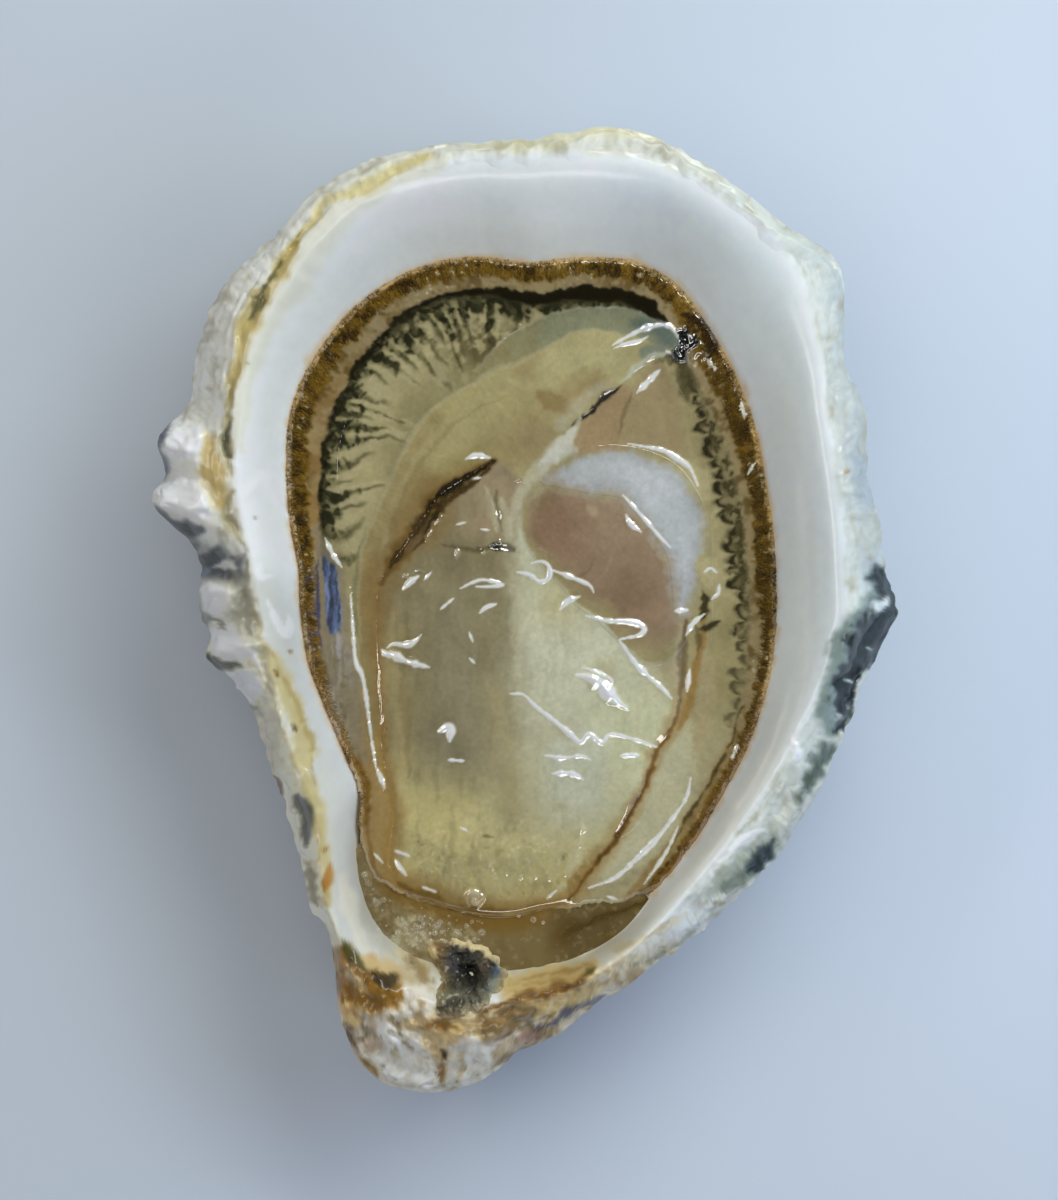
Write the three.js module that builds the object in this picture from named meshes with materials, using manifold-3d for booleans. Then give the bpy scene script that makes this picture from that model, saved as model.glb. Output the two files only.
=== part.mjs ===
// Oyster on the half shell: the cupped lower valve of a Pacific oyster with the
// opened animal and a little liquor in it. Millimetres, +Z up. The hinge end
// points along -Y, and the valve rests on a small flat spot at Z = 0.
import * as THREE from "three";
import { mergeVertices } from "three/addons/utils/BufferGeometryUtils.js";
import Module from "manifold-3d";

const wasm = await Module();
wasm.setup();

// ---------------------------------------------------------------- driving sizes

const FLOOR = 3.2; // shell thickness under the middle of the cup
const BOWL_POWER = 2.2; // how late the cup's floor turns up into its wall
const WALL_GROWTH = 4.0; // vertical wall thickness gained from the middle to the meat's margin
const CREST_WALL = 7.5; // vertical wall thickness under the crest
const EDGE = 1.2; // thickness of the thin outer edge
const BEAK_EDGE = 3.6; // extra edge thickness at the beak
const BEAK_BEARING = 256;
const BEAK_WIDTH = 10; // degrees
const LEDGE = 0.7; // how far a growth ledge stands out below the wall
const LEDGE_SHARES = [0.87, 0.73, 0.59]; // where the ledges run, as shares of the outline
const LEDGE_HALF = 0.012; // half of a ledge's step, as a share of the outline
const RIB_DEPTH = 0.55; // radial ribs on the outside

const GAP = 0.3; // clearance between neighbouring pieces
const DEEP = -20; // where pieces end below before they are cut to the cup's shape
const LINER = 2.0; // thickness of the mantle under the organs
const LIQUOR_LEVEL = 16.1;
const LIQUOR_BEARINGS = [238, 290];

// Closed outlines round the cup's middle: [bearing in degrees from +X, radius].
const OUTLINE = [
  [0, 38.0], [6, 37.2], [16, 37.3], [23, 37.9], [28, 39.1], [32, 40.6], [38, 41.2],
  [43, 44.4], [47, 47.2], [50, 48.0], [56, 47.4], [64, 48.4], [74, 50.0], [81, 50.2],
  [88, 48.5], [97, 48.3], [106, 48.8], [115, 48.4], [124, 46.4], [134, 45.6],
  [142, 43.0], [149, 41.0], [155, 41.7], [159, 39.8], [164, 39.8], [168, 35.6],
  [173, 34.0], [180, 33.7], [184, 32.8], [188, 33.2], [193, 31.2], [202, 30.2],
  [212, 30.9], [226, 34.0], [234, 37.7], [240, 40.0], [246, 46.8], [251, 50.3],
  [258, 50.9], [264, 48.8], [268, 45.8], [274, 43.6], [281, 40.6], [291, 38.3],
  [301, 36.9], [312, 36.1], [324, 35.3], [337, 34.8], [345, 35.2], [352, 35.9],
];
const CREST = [
  [0, 32.4], [10, 32.7], [23, 34.2], [36, 37.4], [45, 41.3], [53, 44.8], [62, 46.2],
  [75, 47.4], [90, 46.4], [105, 46.2], [114, 45.6], [122, 43.8], [130, 41.8],
  [137, 39.3], [146, 35.7], [153, 33.8], [162, 30.5], [171, 28.4], [180, 27.2],
  [195, 26.7], [213, 27.8], [225, 30.1], [233, 34.2], [240, 38.2], [246, 40.4],
  [254, 41.4], [262, 41.2], [270, 39.8], [280, 37.6], [290, 35.2], [304, 32.0],
  [323, 30.2], [338, 30.2], [352, 31.9],
];
const MARGIN = [
  [0, 25.5], [15, 26.2], [29, 28.0], [41, 30.6], [50, 32.8], [59, 35.1], [65, 36.9],
  [72, 37.7], [82, 36.8], [90, 36.0], [97, 36.8], [106, 37.2], [113, 36.8],
  [120, 36.0], [126, 34.9], [133, 33.6], [141, 31.5], [149, 28.9], [158, 26.4],
  [168, 24.1], [180, 23.3], [192, 23.1], [206, 23.0], [219, 23.9], [227, 25.3],
  [235, 30.6], [240, 33.6], [245, 35.8], [252, 37.0], [261, 37.0], [270, 36.5],
  [278, 35.7], [287, 33.9], [295, 31.3], [305, 29.3], [317, 27.4], [330, 26.4],
  [345, 25.7],
];
// Where the mantle ends short of the hinge, and the liquor shows instead.
const MANTLE_EDGE = [
  [0, 25.5], [15, 26.2], [29, 28.0], [41, 30.6], [50, 32.8], [59, 35.1], [65, 36.9],
  [72, 37.7], [82, 36.8], [90, 36.0], [97, 36.8], [106, 37.2], [113, 36.8],
  [120, 36.0], [126, 34.9], [133, 33.6], [141, 31.5], [149, 28.9], [158, 26.4],
  [168, 24.1], [180, 23.3], [192, 23.1], [206, 23.0], [219, 23.9], [227, 25.3],
  [234, 29.2], [239, 31.2], [246, 31.8], [255, 31.8], [265, 31.4], [275, 30.9],
  [283, 30.8], [289, 31.3], [295, 31.0], [305, 29.3], [317, 27.4], [330, 26.4],
  [345, 25.7],
];

// Heights along the same bearings: [bearing, height].
const MARGIN_HEIGHT = [
  [0, 16.8], [45, 17.2], [90, 17.6], [135, 17.4], [180, 16.6], [215, 16.0],
  [238, 14.6], [262, 14.2], [290, 14.6], [310, 16.0], [330, 16.4],
];
const CREST_HEIGHT = [
  [0, 24.3], [45, 25.0], [90, 26.0], [135, 25.2], [170, 24.0], [200, 23.0],
  [225, 22.6], [245, 21.8], [262, 21.0], [280, 21.5], [300, 22.5], [325, 23.4],
];
const RIM_HEIGHT = [
  [0, 18.5], [15, 21.0], [30, 22.5], [45, 23.0], [60, 24.5], [75, 25.2], [90, 24.8],
  [105, 24.6], [120, 23.5], [135, 21.5], [149, 19.0], [155, 20.8], [159, 18.6],
  [164, 20.4], [169, 16.2], [176, 18.2], [183, 15.8], [188, 18.0], [194, 15.4],
  [203, 16.2], [215, 17.0], [228, 18.0], [240, 18.5], [248, 16.0], [256, 14.5],
  [265, 15.0], [275, 16.5], [290, 18.5], [305, 19.0], [320, 19.0], [335, 19.5],
  [348, 18.8],
];

// The organs' outlines round middles of their own.
const BODY_MIDDLE = [-3, -8];
const BODY = [
  [0, 18.0], [10, 17.6], [22, 16.0], [42, 12.0], [59, 11.4], [74, 12.8], [81, 16.2],
  [87, 21.4], [91, 23.0], [98, 22.2], [107, 20.8], [117, 19.0], [128, 17.3],
  [138, 16.3], [155, 13.8], [175, 12.6], [195, 12.5], [215, 13.9], [230, 17.2],
  [238, 21.0], [247, 22.6], [257, 22.4], [270, 22.2], [283, 22.1], [291, 21.8],
  [300, 20.3], [313, 18.7], [325, 18.0], [338, 17.7], [350, 17.8],
];
const QUICK_MIDDLE = [7.5, 5];
const QUICK_MUSCLE = [
  [0, 6.5], [28, 6.5], [51, 7.0], [75, 7.3], [101, 7.5], [119, 8.8], [139, 9.7],
  [165, 7.8], [194, 6.2], [242, 5.6], [274, 6.4], [300, 8.4], [313, 9.0], [331, 8.0],
];
const LIGAMENT_MIDDLE = [-6.2, -37.2];
const LIGAMENT = [
  [0, 3.9], [35, 3.0], [80, 2.2], [120, 3.2], [160, 4.3], [200, 3.6], [250, 2.7],
  [300, 2.9],
];

// Crescents as two edges with matching points, [x, y], from one end to the other.
const GILL_OUTER = [
  [-15.9, -14.0], [-16.6, -9.0], [-17.4, -4.0], [-17.9, 2.0], [-17.6, 8.0],
  [-16.2, 14.0], [-13.0, 19.6], [-9.0, 23.6], [-4.6, 26.6], [0.5, 29.8], [6.0, 31.2],
  [11.0, 30.6], [16.2, 27.9],
];
const GILL_INNER = [
  [-14.4, -14.0], [-14.5, -9.0], [-14.5, -4.0], [-14.1, 0.4], [-12.7, 4.0],
  [-10.6, 7.8], [-8.0, 10.8], [-5.2, 13.0], [-2.4, 14.2], [1.4, 15.4], [4.8, 18.6],
  [9.4, 23.0], [15.2, 26.5],
];
const CATCH_OUTER = [
  [2.2, 14.6], [5.0, 16.7], [10.0, 17.1], [14.6, 15.0], [17.3, 11.6], [18.4, 7.6],
  [18.2, 3.4], [17.0, -0.8],
];
const CATCH_INNER = [
  [2.8, 13.4], [6.0, 13.0], [9.5, 12.6], [12.2, 11.0], [13.8, 8.4], [14.6, 5.0],
  [14.9, 1.8], [15.2, -0.8],
];

// ---------------------------------------------------------------- curves

const radians = (degrees) => (degrees * Math.PI) / 180;

// Cubic from a to b over t = 0 to 1, with the slopes given over the whole span.
function hermite(a, slopeA, b, slopeB, t) {
  const s = 1 - t;
  return a * (1 + 2 * t) * s * s + slopeA * t * s * s + b * t * t * (3 - 2 * t) - slopeB * t * t * s;
}

const ease = (t) => t * t * (3 - 2 * t);

// The smooth closed curve through [bearing, value] pairs, as a function of bearing.
function ring(points) {
  const count = points.length;
  const bearing = (i) => points[(i + count) % count][0] + 360 * Math.floor(i / count);
  const value = (i) => points[(i + count) % count][1];
  const slope = (i) => {
    const ahead = (value(i + 1) - value(i)) / (bearing(i + 1) - bearing(i));
    const behind = (value(i) - value(i - 1)) / (bearing(i) - bearing(i - 1));
    return (ahead + behind) / 2;
  };
  return (degrees) => {
    const turned = ((degrees % 360) + 360) % 360;
    let i = count - 1;
    while (bearing(i) > turned) i -= 1;
    const span = bearing(i + 1) - bearing(i);
    const t = (turned - bearing(i)) / span;
    return hermite(value(i), slope(i) * span, value(i + 1), slope(i + 1) * span, t);
  };
}

// The open smooth curve through [x, y] points, at t = 0 to 1.
function path(points) {
  const curve = new THREE.CatmullRomCurve3(
    points.map(([x, y]) => new THREE.Vector3(x, y, 0)), false, "catmullrom");
  return (t) => curve.getPoint(t);
}

const outlineAt = ring(OUTLINE);
const crestAt = ring(CREST);
const marginAt = ring(MARGIN);
const mantleEdgeAt = ring(MANTLE_EDGE);
const marginHeightAt = ring(MARGIN_HEIGHT);
const crestHeightAt = ring(CREST_HEIGHT);
const rimHeightAt = ring(RIM_HEIGHT);

function polar(x, y) {
  return [(Math.atan2(y, x) * 180) / Math.PI, Math.hypot(x, y)];
}

// ---------------------------------------------------------------- the valve's two faces

// Height of the cup's inner face: a bowl up to the meat's margin, a white wall up
// to the crest, and a thin flange out to the edge.
function innerHeight(bearing, radius) {
  const margin = marginAt(bearing);
  const marginHeight = marginHeightAt(bearing);
  const bowlSlope = (BOWL_POWER * (marginHeight - FLOOR)) / margin;
  if (radius <= margin) {
    return FLOOR + (marginHeight - FLOOR) * (radius / margin) ** BOWL_POWER;
  }
  const crest = crestAt(bearing);
  const crestHeight = crestHeightAt(bearing);
  if (radius <= crest) {
    const span = crest - margin;
    return hermite(marginHeight, bowlSlope * span, crestHeight, 0, (radius - margin) / span);
  }
  const t = Math.min(1, (radius - crest) / (outlineAt(bearing) - crest));
  const drop = rimHeightAt(bearing) - crestHeight;
  return hermite(crestHeight, 0, crestHeight + drop, 1.2 * drop, t);
}

function edgeThickness(bearing) {
  const off = (bearing - BEAK_BEARING) / BEAK_WIDTH;
  return EDGE + BEAK_EDGE * Math.exp(-off * off);
}

function wallThickness(bearing, radius) {
  const margin = marginAt(bearing);
  const crest = crestAt(bearing);
  const marginWall = FLOOR + WALL_GROWTH;
  if (radius <= margin) {
    return FLOOR + (WALL_GROWTH * radius) / margin;
  }
  if (radius <= crest) {
    return marginWall + ((CREST_WALL - marginWall) * (radius - margin)) / (crest - margin);
  }
  const t = Math.min(1, (radius - crest) / (outlineAt(bearing) - crest));
  return CREST_WALL + (edgeThickness(bearing) - CREST_WALL) * ease(t);
}

// Height of the outside, with its ribs, flat where it would pass below the table.
function outerHeight(bearing, radius, ledge) {
  const share = radius / outlineAt(bearing);
  const ribs = Math.sin(radians(11 * bearing) + 1) + 0.8 * Math.sin(radians(17 * bearing) + 2);
  const fade = share * (1 - share) * 4;
  const wall = wallThickness(bearing, radius) + RIB_DEPTH * ribs * fade + ledge;
  return Math.max(0, innerHeight(bearing, radius) - wall);
}

// ---------------------------------------------------------------- mesh builders

function geometryFrom(vertices, triangles) {
  const geometry = new THREE.BufferGeometry();
  geometry.setAttribute("position", new THREE.Float32BufferAttribute(vertices, 3));
  geometry.setIndex(triangles);
  return geometry;
}

// Joins closed loops of equal length into a skin, with a point at each end.
function skin(first, loops, last) {
  const count = loops[0].length;
  const vertices = [...first, ...loops.flat(2), ...last];
  const triangles = [];
  const index = (loop, i) => 1 + loop * count + (i % count);
  const end = 1 + loops.length * count;
  for (let i = 0; i < count; i += 1) {
    triangles.push(0, index(0, i), index(0, i + 1));
    for (let loop = 0; loop < loops.length - 1; loop += 1) {
      triangles.push(index(loop, i), index(loop + 1, i), index(loop + 1, i + 1));
      triangles.push(index(loop, i), index(loop + 1, i + 1), index(loop, i + 1));
    }
    triangles.push(end, index(loops.length - 1, i + 1), index(loops.length - 1, i));
  }
  return geometryFrom(vertices, triangles);
}

// Bearings round the valve, closer together along the fluted side and the beak.
function valveBearings() {
  const bearings = [];
  let bearing = 0;
  while (bearing < 359) {
    bearings.push(bearing);
    const fluted = bearing >= 146 && bearing < 204;
    const beak = bearing >= 236 && bearing < 280;
    bearing += fluted || beak ? 2 : 4;
  }
  return bearings;
}

const BEARINGS = valveBearings();
const between = (from, to, share) => (bearing) =>
  from(bearing) + (to(bearing) - from(bearing)) * share;
const nothing = () => 0;

function valveLoop(radiusAt, heightAt) {
  return BEARINGS.map((bearing) => {
    const radius = radiusAt(bearing);
    const angle = radians(bearing);
    return [radius * Math.cos(angle), radius * Math.sin(angle), heightAt(bearing, radius)];
  });
}

// The loops of the cup's inner face, from the middle to the edge, raised by lift.
function innerLoops(lift) {
  const radii = [0.45, 0.78, 1].map((share) => between(nothing, marginAt, share));
  radii.push(...[0.3, 0.65, 1].map((share) => between(marginAt, crestAt, share)));
  radii.push(...[0.35, 0.7, 1].map((share) => between(crestAt, outlineAt, share)));
  const heightAt = (bearing, radius) => innerHeight(bearing, radius) + lift;
  return radii.map((radiusAt) => valveLoop(radiusAt, heightAt));
}

function valve() {
  const loops = innerLoops(0);
  const plain = (bearing, radius) => outerHeight(bearing, radius, 0);
  const ledged = (bearing, radius) => outerHeight(bearing, radius, LEDGE);
  loops.push(valveLoop(outlineAt, plain));
  for (const share of LEDGE_SHARES) {
    loops.push(valveLoop(between(nothing, outlineAt, share + 0.06), plain));
    loops.push(valveLoop(between(nothing, outlineAt, share + LEDGE_HALF), ledged));
    loops.push(valveLoop(between(nothing, outlineAt, share - LEDGE_HALF), plain));
  }
  for (const share of [0.45, 0.25]) {
    loops.push(valveLoop(between(nothing, outlineAt, share), plain));
  }
  return skin([0, 0, FLOOR], loops, [0, 0, 0]);
}

// Everything below the cup's inner face and its clearance.
function underCup() {
  const loops = innerLoops(GAP);
  loops.push(valveLoop(outlineAt, () => 2 * DEEP));
  return skin([0, 0, FLOOR + GAP], loops, [0, 0, 2 * DEEP]);
}

// A solid between a top and a bottom face inside a closed outline round a middle.
// grow makes it that much larger all over.
function mound(middle, outline, top, bottom, { count, shares, under = [1], grow = 0 }) {
  const outlineOf = ring(outline);
  const loop = (share, heightAt) =>
    Array.from({ length: count }, (_, i) => {
      const bearing = (360 * i) / count;
      const radius = (outlineOf(bearing) + grow) * share;
      const x = middle[0] + radius * Math.cos(radians(bearing));
      const y = middle[1] + radius * Math.sin(radians(bearing));
      return [x, y, heightAt(x, y, share)];
    });
  const topOf = (x, y, share) => top(x, y, share) + grow;
  const bottomOf = (x, y, share) => bottom(x, y, share) - grow;
  const loops = [
    ...shares.map((share) => loop(share, topOf)),
    ...under.map((share) => loop(share, bottomOf)),
  ];
  const [x, y] = middle;
  return skin([x, y, topOf(x, y, 0)], loops, [x, y, bottomOf(x, y, 0)]);
}

// A solid strip between two edges with matching points.
function strip(outer, inner, top, bottom, { steps, across, grow = 0 }) {
  const outerAt = path(outer);
  const innerAt = path(inner);
  const vertices = [];
  const row = across + 1;
  const face = (steps + 1) * row;
  for (const heightAt of [top, bottom]) {
    const lift = heightAt === top ? grow : -grow;
    for (let i = 0; i <= steps; i += 1) {
      const u = i / steps;
      const a = innerAt(u);
      const b = outerAt(u);
      const width = a.distanceTo(b);
      const end = i === 0 ? -1 : Number(i === steps);
      const along = innerAt(Math.min(1, u + 0.02)).sub(innerAt(Math.max(0, u - 0.02)));
      along.normalize().multiplyScalar(end * grow);
      a.add(along);
      b.add(along);
      for (let j = 0; j <= across; j += 1) {
        const v = j / across;
        const p = a.clone().lerp(b, v + ((2 * v - 1) * grow) / width);
        vertices.push(p.x, p.y, heightAt(p.x, p.y, u, v) + lift);
      }
    }
  }
  const triangles = [];
  const quad = (a, b, c, d) => triangles.push(a, c, b, a, d, c);
  for (let i = 0; i < steps; i += 1) {
    for (let j = 0; j < across; j += 1) {
      const k = i * row + j;
      quad(k, k + 1, k + row + 1, k + row);
      quad(face + k, face + k + row, face + k + row + 1, face + k + 1);
    }
    const left = i * row;
    const right = left + across;
    quad(left, left + row, face + left + row, face + left);
    quad(right, face + right, face + right + row, right + row);
  }
  for (let j = 0; j < across; j += 1) {
    const far = steps * row + j;
    quad(j, face + j, face + j + 1, j + 1);
    quad(far, far + 1, face + far + 1, face + far);
  }
  return geometryFrom(vertices, triangles);
}

// ---------------------------------------------------------------- cuts

function solidFrom(geometry) {
  const merged = mergeVertices(geometry, 1e-4);
  return new wasm.Manifold(
    new wasm.Mesh({
      numProp: 3,
      vertProperties: new Float32Array(merged.attributes.position.array),
      triVerts: new Uint32Array(merged.index.array),
    }),
  );
}

function largestPiece(solid) {
  return solid.decompose().reduce((a, b) => (a.volume() > b.volume() ? a : b));
}

function cut(geometry, tools) {
  const start = solidFrom(geometry);
  const result = tools.reduce((solid, tool) => solid.subtract(solidFrom(tool)), start);
  const mesh = largestPiece(result).getMesh();
  return geometryFrom(Array.from(mesh.vertProperties), Array.from(mesh.triVerts));
}

// ---------------------------------------------------------------- the animal's surfaces

const floorAt = (x, y) => innerHeight(...polar(x, y));
const deep = () => DEEP;

// A smooth hump of unit height round a distance.
const hump = (distance, middle, width) => Math.exp(-(((distance - middle) / width) ** 2));

// The mantle's upper face: a fringed outer fold and an inner fold along its edge,
// then a gentle dish towards the organs.
function mantleTop(x, y) {
  const [bearing, radius] = polar(x, y);
  const inward = mantleEdgeAt(bearing) - radius;
  const folds = 1.0 * hump(inward, 1.1, 0.9) + 0.9 * hump(inward, 4.0, 1.0);
  const dish = 0.7 * ease(Math.min(1, Math.max(0, inward) / 9));
  const lip = LIQUOR_LEVEL - 0.4 + 0.4 * folds;
  return Math.max(marginHeightAt(bearing) + 0.3 + folds - dish, lip);
}

function bodyTop(x, y, share) {
  const swell = 1 - share ** 3;
  const gut = 0.5 * hump(Math.hypot(x + 8, y + 16), 0, 7);
  return 16.4 + 2.4 * swell - gut * 0.6;
}

const organFloor = (x, y) => floorAt(x, y) + LINER + 2 * GAP;

function gillTop(x, y, u, v) {
  return marginHeightAt(polar(x, y)[0]) + 0.2 + 0.7 * Math.sin(Math.PI * Math.min(0.9, v + 0.15));
}

const gillBottom = () => 14.6;

function quickTop(x, y, share) {
  return 17.9 - 0.8 * share ** 4;
}

function catchTop(x, y, u, v) {
  return 17.6 + 0.5 * Math.sin(Math.PI * v);
}

function ligamentTop(x, y, share) {
  const crust = 1.3 + 1.6 * (1 - share ** 2) + 0.35 * Math.sin(2.1 * x + y);
  return floorAt(x, y) + crust;
}

// ---------------------------------------------------------------- the pieces

const body = (grow) =>
  mound(BODY_MIDDLE, BODY, bodyTop, organFloor, {
    count: 60, shares: [0.35, 0.6, 0.8, 0.93, 1], under: [1, 0.7, 0.4], grow,
  });
const quickMuscle = (grow) =>
  mound(QUICK_MIDDLE, QUICK_MUSCLE, quickTop, deep, { count: 36, shares: [0.5, 0.85, 1], grow });
const catchMuscle = (grow) =>
  strip(CATCH_OUTER, CATCH_INNER, catchTop, deep, { steps: 20, across: 3, grow });
const gills = (grow) =>
  strip(GILL_OUTER, GILL_INNER, gillTop, gillBottom, { steps: 40, across: 6, grow });
const cup = underCup();

const MANTLE_SHARES = [0.35, 0.6, 0.75, 0.84, 0.9, 0.95, 0.985, 1];
const sheet = (grow) =>
  mound([0, 0], MANTLE_EDGE, mantleTop, deep, { count: 90, shares: MANTLE_SHARES, grow });
const chunk = (grow) =>
  mound(LIGAMENT_MIDDLE, LIGAMENT, ligamentTop, deep, { count: 18, shares: [0.5, 0.8, 1], grow });

// The pool between the mantle's end and the cup's wall at the hinge.
function liquor() {
  const [first, last] = LIQUOR_BEARINGS;
  const bearings = Array.from({ length: 10 }, (_, i) => last - ((last - first) * i) / 9);
  const point = (bearing, radius) =>
    [radius * Math.cos(radians(bearing)), radius * Math.sin(radians(bearing))];
  const outer = bearings.map((b) => point(b, marginAt(b) + 2));
  const inner = bearings.map((b) => point(b, mantleEdgeAt(b) - 2));
  const shore = mound([0, 0], MANTLE_EDGE, () => 30, deep, { count: 90, shares: [1], grow: GAP });
  const pool = strip(outer, inner, () => LIQUOR_LEVEL, deep, { steps: 24, across: 4 });
  return cut(pool, [cup, shore, chunk(GAP)]);
}

const material = (color, roughness) => new THREE.MeshStandardMaterial({ color, roughness, metalness: 0 });

function piece(name, geometry, finish) {
  const mesh = new THREE.Mesh(geometry, finish);
  mesh.name = name;
  return mesh;
}

const shell = piece("shell", valve(), material("#d8dad6", 0.35));
const oyster = new THREE.Group();
oyster.add(
  shell,
  piece("ligament", cut(chunk(0), [cup]), material("#2b2a22", 0.6)),
  piece(
    "mantle",
    cut(sheet(0), [cup, gills(GAP), body(GAP), quickMuscle(GAP), catchMuscle(GAP)]),
    material("#8f8257", 0.2),
  ),
  piece(
    "gills",
    cut(gills(0), [cup, body(GAP), catchMuscle(GAP), quickMuscle(GAP)]),
    material("#94885e", 0.2),
  ),
  piece("body", cut(body(0), [quickMuscle(GAP), catchMuscle(GAP)]), material("#b0aa86", 0.15)),
  piece("muscle_quick", cut(quickMuscle(0), [cup, catchMuscle(GAP)]), material("#8a775f", 0.2)),
  piece("muscle_catch", cut(catchMuscle(0), [cup]), material("#b4bab9", 0.3)),
  piece("liquor", liquor(), material("#9a8f6c", 0.05)),
);

// The origin is under the middle of the valve's bounding box.
const box = new THREE.Box3().setFromObject(shell);
const middle = box.getCenter(new THREE.Vector3());
oyster.position.set(-middle.x, -middle.y, 0);

export default oyster;
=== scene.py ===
"""The looks of an opened oyster in its lower valve, built round the packed solids.

Lengths are millimetres with the origin at the cup's middle, +Y towards the round end and +Z
up; place() turns them into the scene's metres. Colours are 0 to 255 as they should look
under the stage's light, and albedo() turns them into surface colours.
"""

import math

import bpy
import numpy as np
from bpy.props import FloatProperty, FloatVectorProperty, IntProperty, PointerProperty
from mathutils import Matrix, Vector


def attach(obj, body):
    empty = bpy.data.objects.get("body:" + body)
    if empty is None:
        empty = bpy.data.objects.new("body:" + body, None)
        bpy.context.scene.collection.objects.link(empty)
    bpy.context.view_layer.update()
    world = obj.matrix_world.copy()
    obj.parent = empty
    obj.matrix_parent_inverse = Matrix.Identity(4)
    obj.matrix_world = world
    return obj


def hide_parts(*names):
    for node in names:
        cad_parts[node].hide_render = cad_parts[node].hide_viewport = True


bl_info = {
    "name": "Oyster on the half shell",
    "version": (1, 0, 0),
    "blender": (4, 5, 0),
    "location": "View3D > Sidebar > Oyster",
    "description": "Builds an opened oyster, its valve and a pale studio stage",
    "category": "Add Mesh",
}

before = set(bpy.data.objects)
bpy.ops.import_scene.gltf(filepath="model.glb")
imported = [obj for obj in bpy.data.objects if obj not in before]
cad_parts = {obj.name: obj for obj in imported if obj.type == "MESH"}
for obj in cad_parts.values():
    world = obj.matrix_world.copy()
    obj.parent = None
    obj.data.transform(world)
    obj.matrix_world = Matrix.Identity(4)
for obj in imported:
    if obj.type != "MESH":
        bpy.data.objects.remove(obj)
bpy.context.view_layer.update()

# ---------------------------------------------------------------- the valve's named sizes

FLOOR = 3.2  # shell thickness under the middle of the cup
BOWL_POWER = 2.2  # how flat the cup's floor is
CREST_WALL = 7.5  # shell thickness under the crest
MARGIN_WALL = 7.2  # shell thickness under the mantle's margin
EDGE = 1.2  # shell thickness at the rim
BEAK_EDGE = 3.6  # how much thicker the rim is at the beak
BEAK = 256  # the beak's bearing
LIQUOR_LEVEL = 16.1
CROWN = 16.9  # the height at which the body's mound starts
FLAT_SPOT = 0.02  # the outside's lowest point over the table
ROOTS = 14.6  # the height of the body's flat underside
MANTLE_TURN, MANTLE_FOOT = 15.2, 14.2  # heights of the hidden inner and outer ends of the mantle's edge
STREAK_PITCH, LOBE_PITCH = 2.15, 1.75  # along the mantle's margin: dark streaks, olive lobes
RIB_PITCH = 0.5  # from one rib of the gills to the next

# The painted grids: their corners, and their steps.
MEAT_AREA = (-29, -38), (25, 39)
MEAT_STEP = 0.09
SHELL_AREA = (-42.5, -54), (42.5, 53.5)
SHELL_STEP = 0.12

LIGHT = np.array([0.73, 0.745, 0.77])  # what a white surface shows under the stage's lights
CAMERA_LENS, CAMERA_SENSOR, CAMERA_HEIGHT = 180, 36, 0.634
CAMERA_SPOT = (0.15, 1.33, 0)  # the point it looks down on

# Closed curves round the cup as [bearing in degrees, radius or height].
OUTLINE = [
    [0, 38], [6, 37.2], [16, 37.3], [23, 37.9], [28, 39.1], [32, 40.6], [38, 41.2],
    [43, 44.4], [47, 47.2], [50, 48], [56, 47.4], [64, 48.4], [74, 50], [81, 50.2],
    [88, 48.5], [97, 48.3], [106, 48.8], [115, 48.4], [124, 46.4], [134, 45.6],
    [142, 43], [149, 41], [155, 41.7], [159, 39.8], [164, 39.8], [168, 35.6],
    [173, 34], [180, 33.7], [184, 32.8], [188, 33.2], [193, 31.2], [202, 30.2],
    [212, 30.9], [226, 34], [234, 37.7], [240, 40], [246, 46.8], [251, 50.3],
    [258, 50.9], [264, 48.8], [268, 45.8], [274, 43.6], [281, 40.6], [291, 38.3],
    [301, 36.9], [312, 36.1], [324, 35.3], [337, 34.8], [345, 35.2], [352, 35.9],
]
CREST = [
    [0, 32.4], [10, 32.7], [23, 34.2], [36, 37.4], [45, 41.3], [53, 44.8], [62, 46.2],
    [75, 47.4], [90, 46.4], [105, 46.2], [114, 45.6], [122, 43.8], [130, 41.8],
    [137, 39.3], [146, 35.7], [153, 33.8], [162, 30.5], [171, 28.4], [180, 27.2],
    [195, 26.7], [213, 27.8], [225, 30.1], [233, 34.2], [240, 38.2], [246, 40.4],
    [254, 41.4], [262, 41.2], [270, 39.8], [280, 37.6], [290, 35.2], [304, 32],
    [323, 30.2], [338, 30.2], [352, 31.9],
]
MARGIN = [
    [0, 25.5], [15, 26.2], [29, 28], [41, 30.6], [50, 32.8], [59, 35.1], [65, 36.9],
    [72, 37.7], [82, 36.8], [90, 36], [97, 36.8], [106, 37.2], [113, 36.8],
    [120, 36], [126, 34.9], [133, 33.6], [141, 31.5], [149, 28.9], [158, 26.4],
    [168, 24.1], [180, 23.3], [192, 23.1], [206, 23], [219, 23.9], [227, 25.3],
    [235, 30.6], [240, 33.6], [245, 35.8], [252, 37], [261, 37], [270, 36.5],
    [278, 35.7], [287, 33.9], [295, 31.3], [305, 29.3], [317, 27.4], [330, 26.4],
    [345, 25.7],
]
MANTLE_EDGE = [p for p in MARGIN if p[0] < 230 or p[0] > 294] + [
    [234, 29.2], [239, 31.2], [246, 31.8], [255, 31.8], [265, 31.4], [275, 30.9],
    [283, 30.8], [289, 31.3],
]
MARGIN_HEIGHT = [
    [0, 16.8], [45, 17.2], [90, 17.6], [135, 17.4], [180, 16.6], [215, 16],
    [238, 14.6], [262, 14.2], [290, 14.6], [310, 16], [330, 16.4],
]
CREST_HEIGHT = [
    [0, 24.3], [45, 25], [90, 26], [135, 25.2], [170, 24], [200, 23],
    [225, 22.6], [245, 21.8], [262, 21], [280, 21.5], [300, 22.5], [325, 23.4],
]
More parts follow.
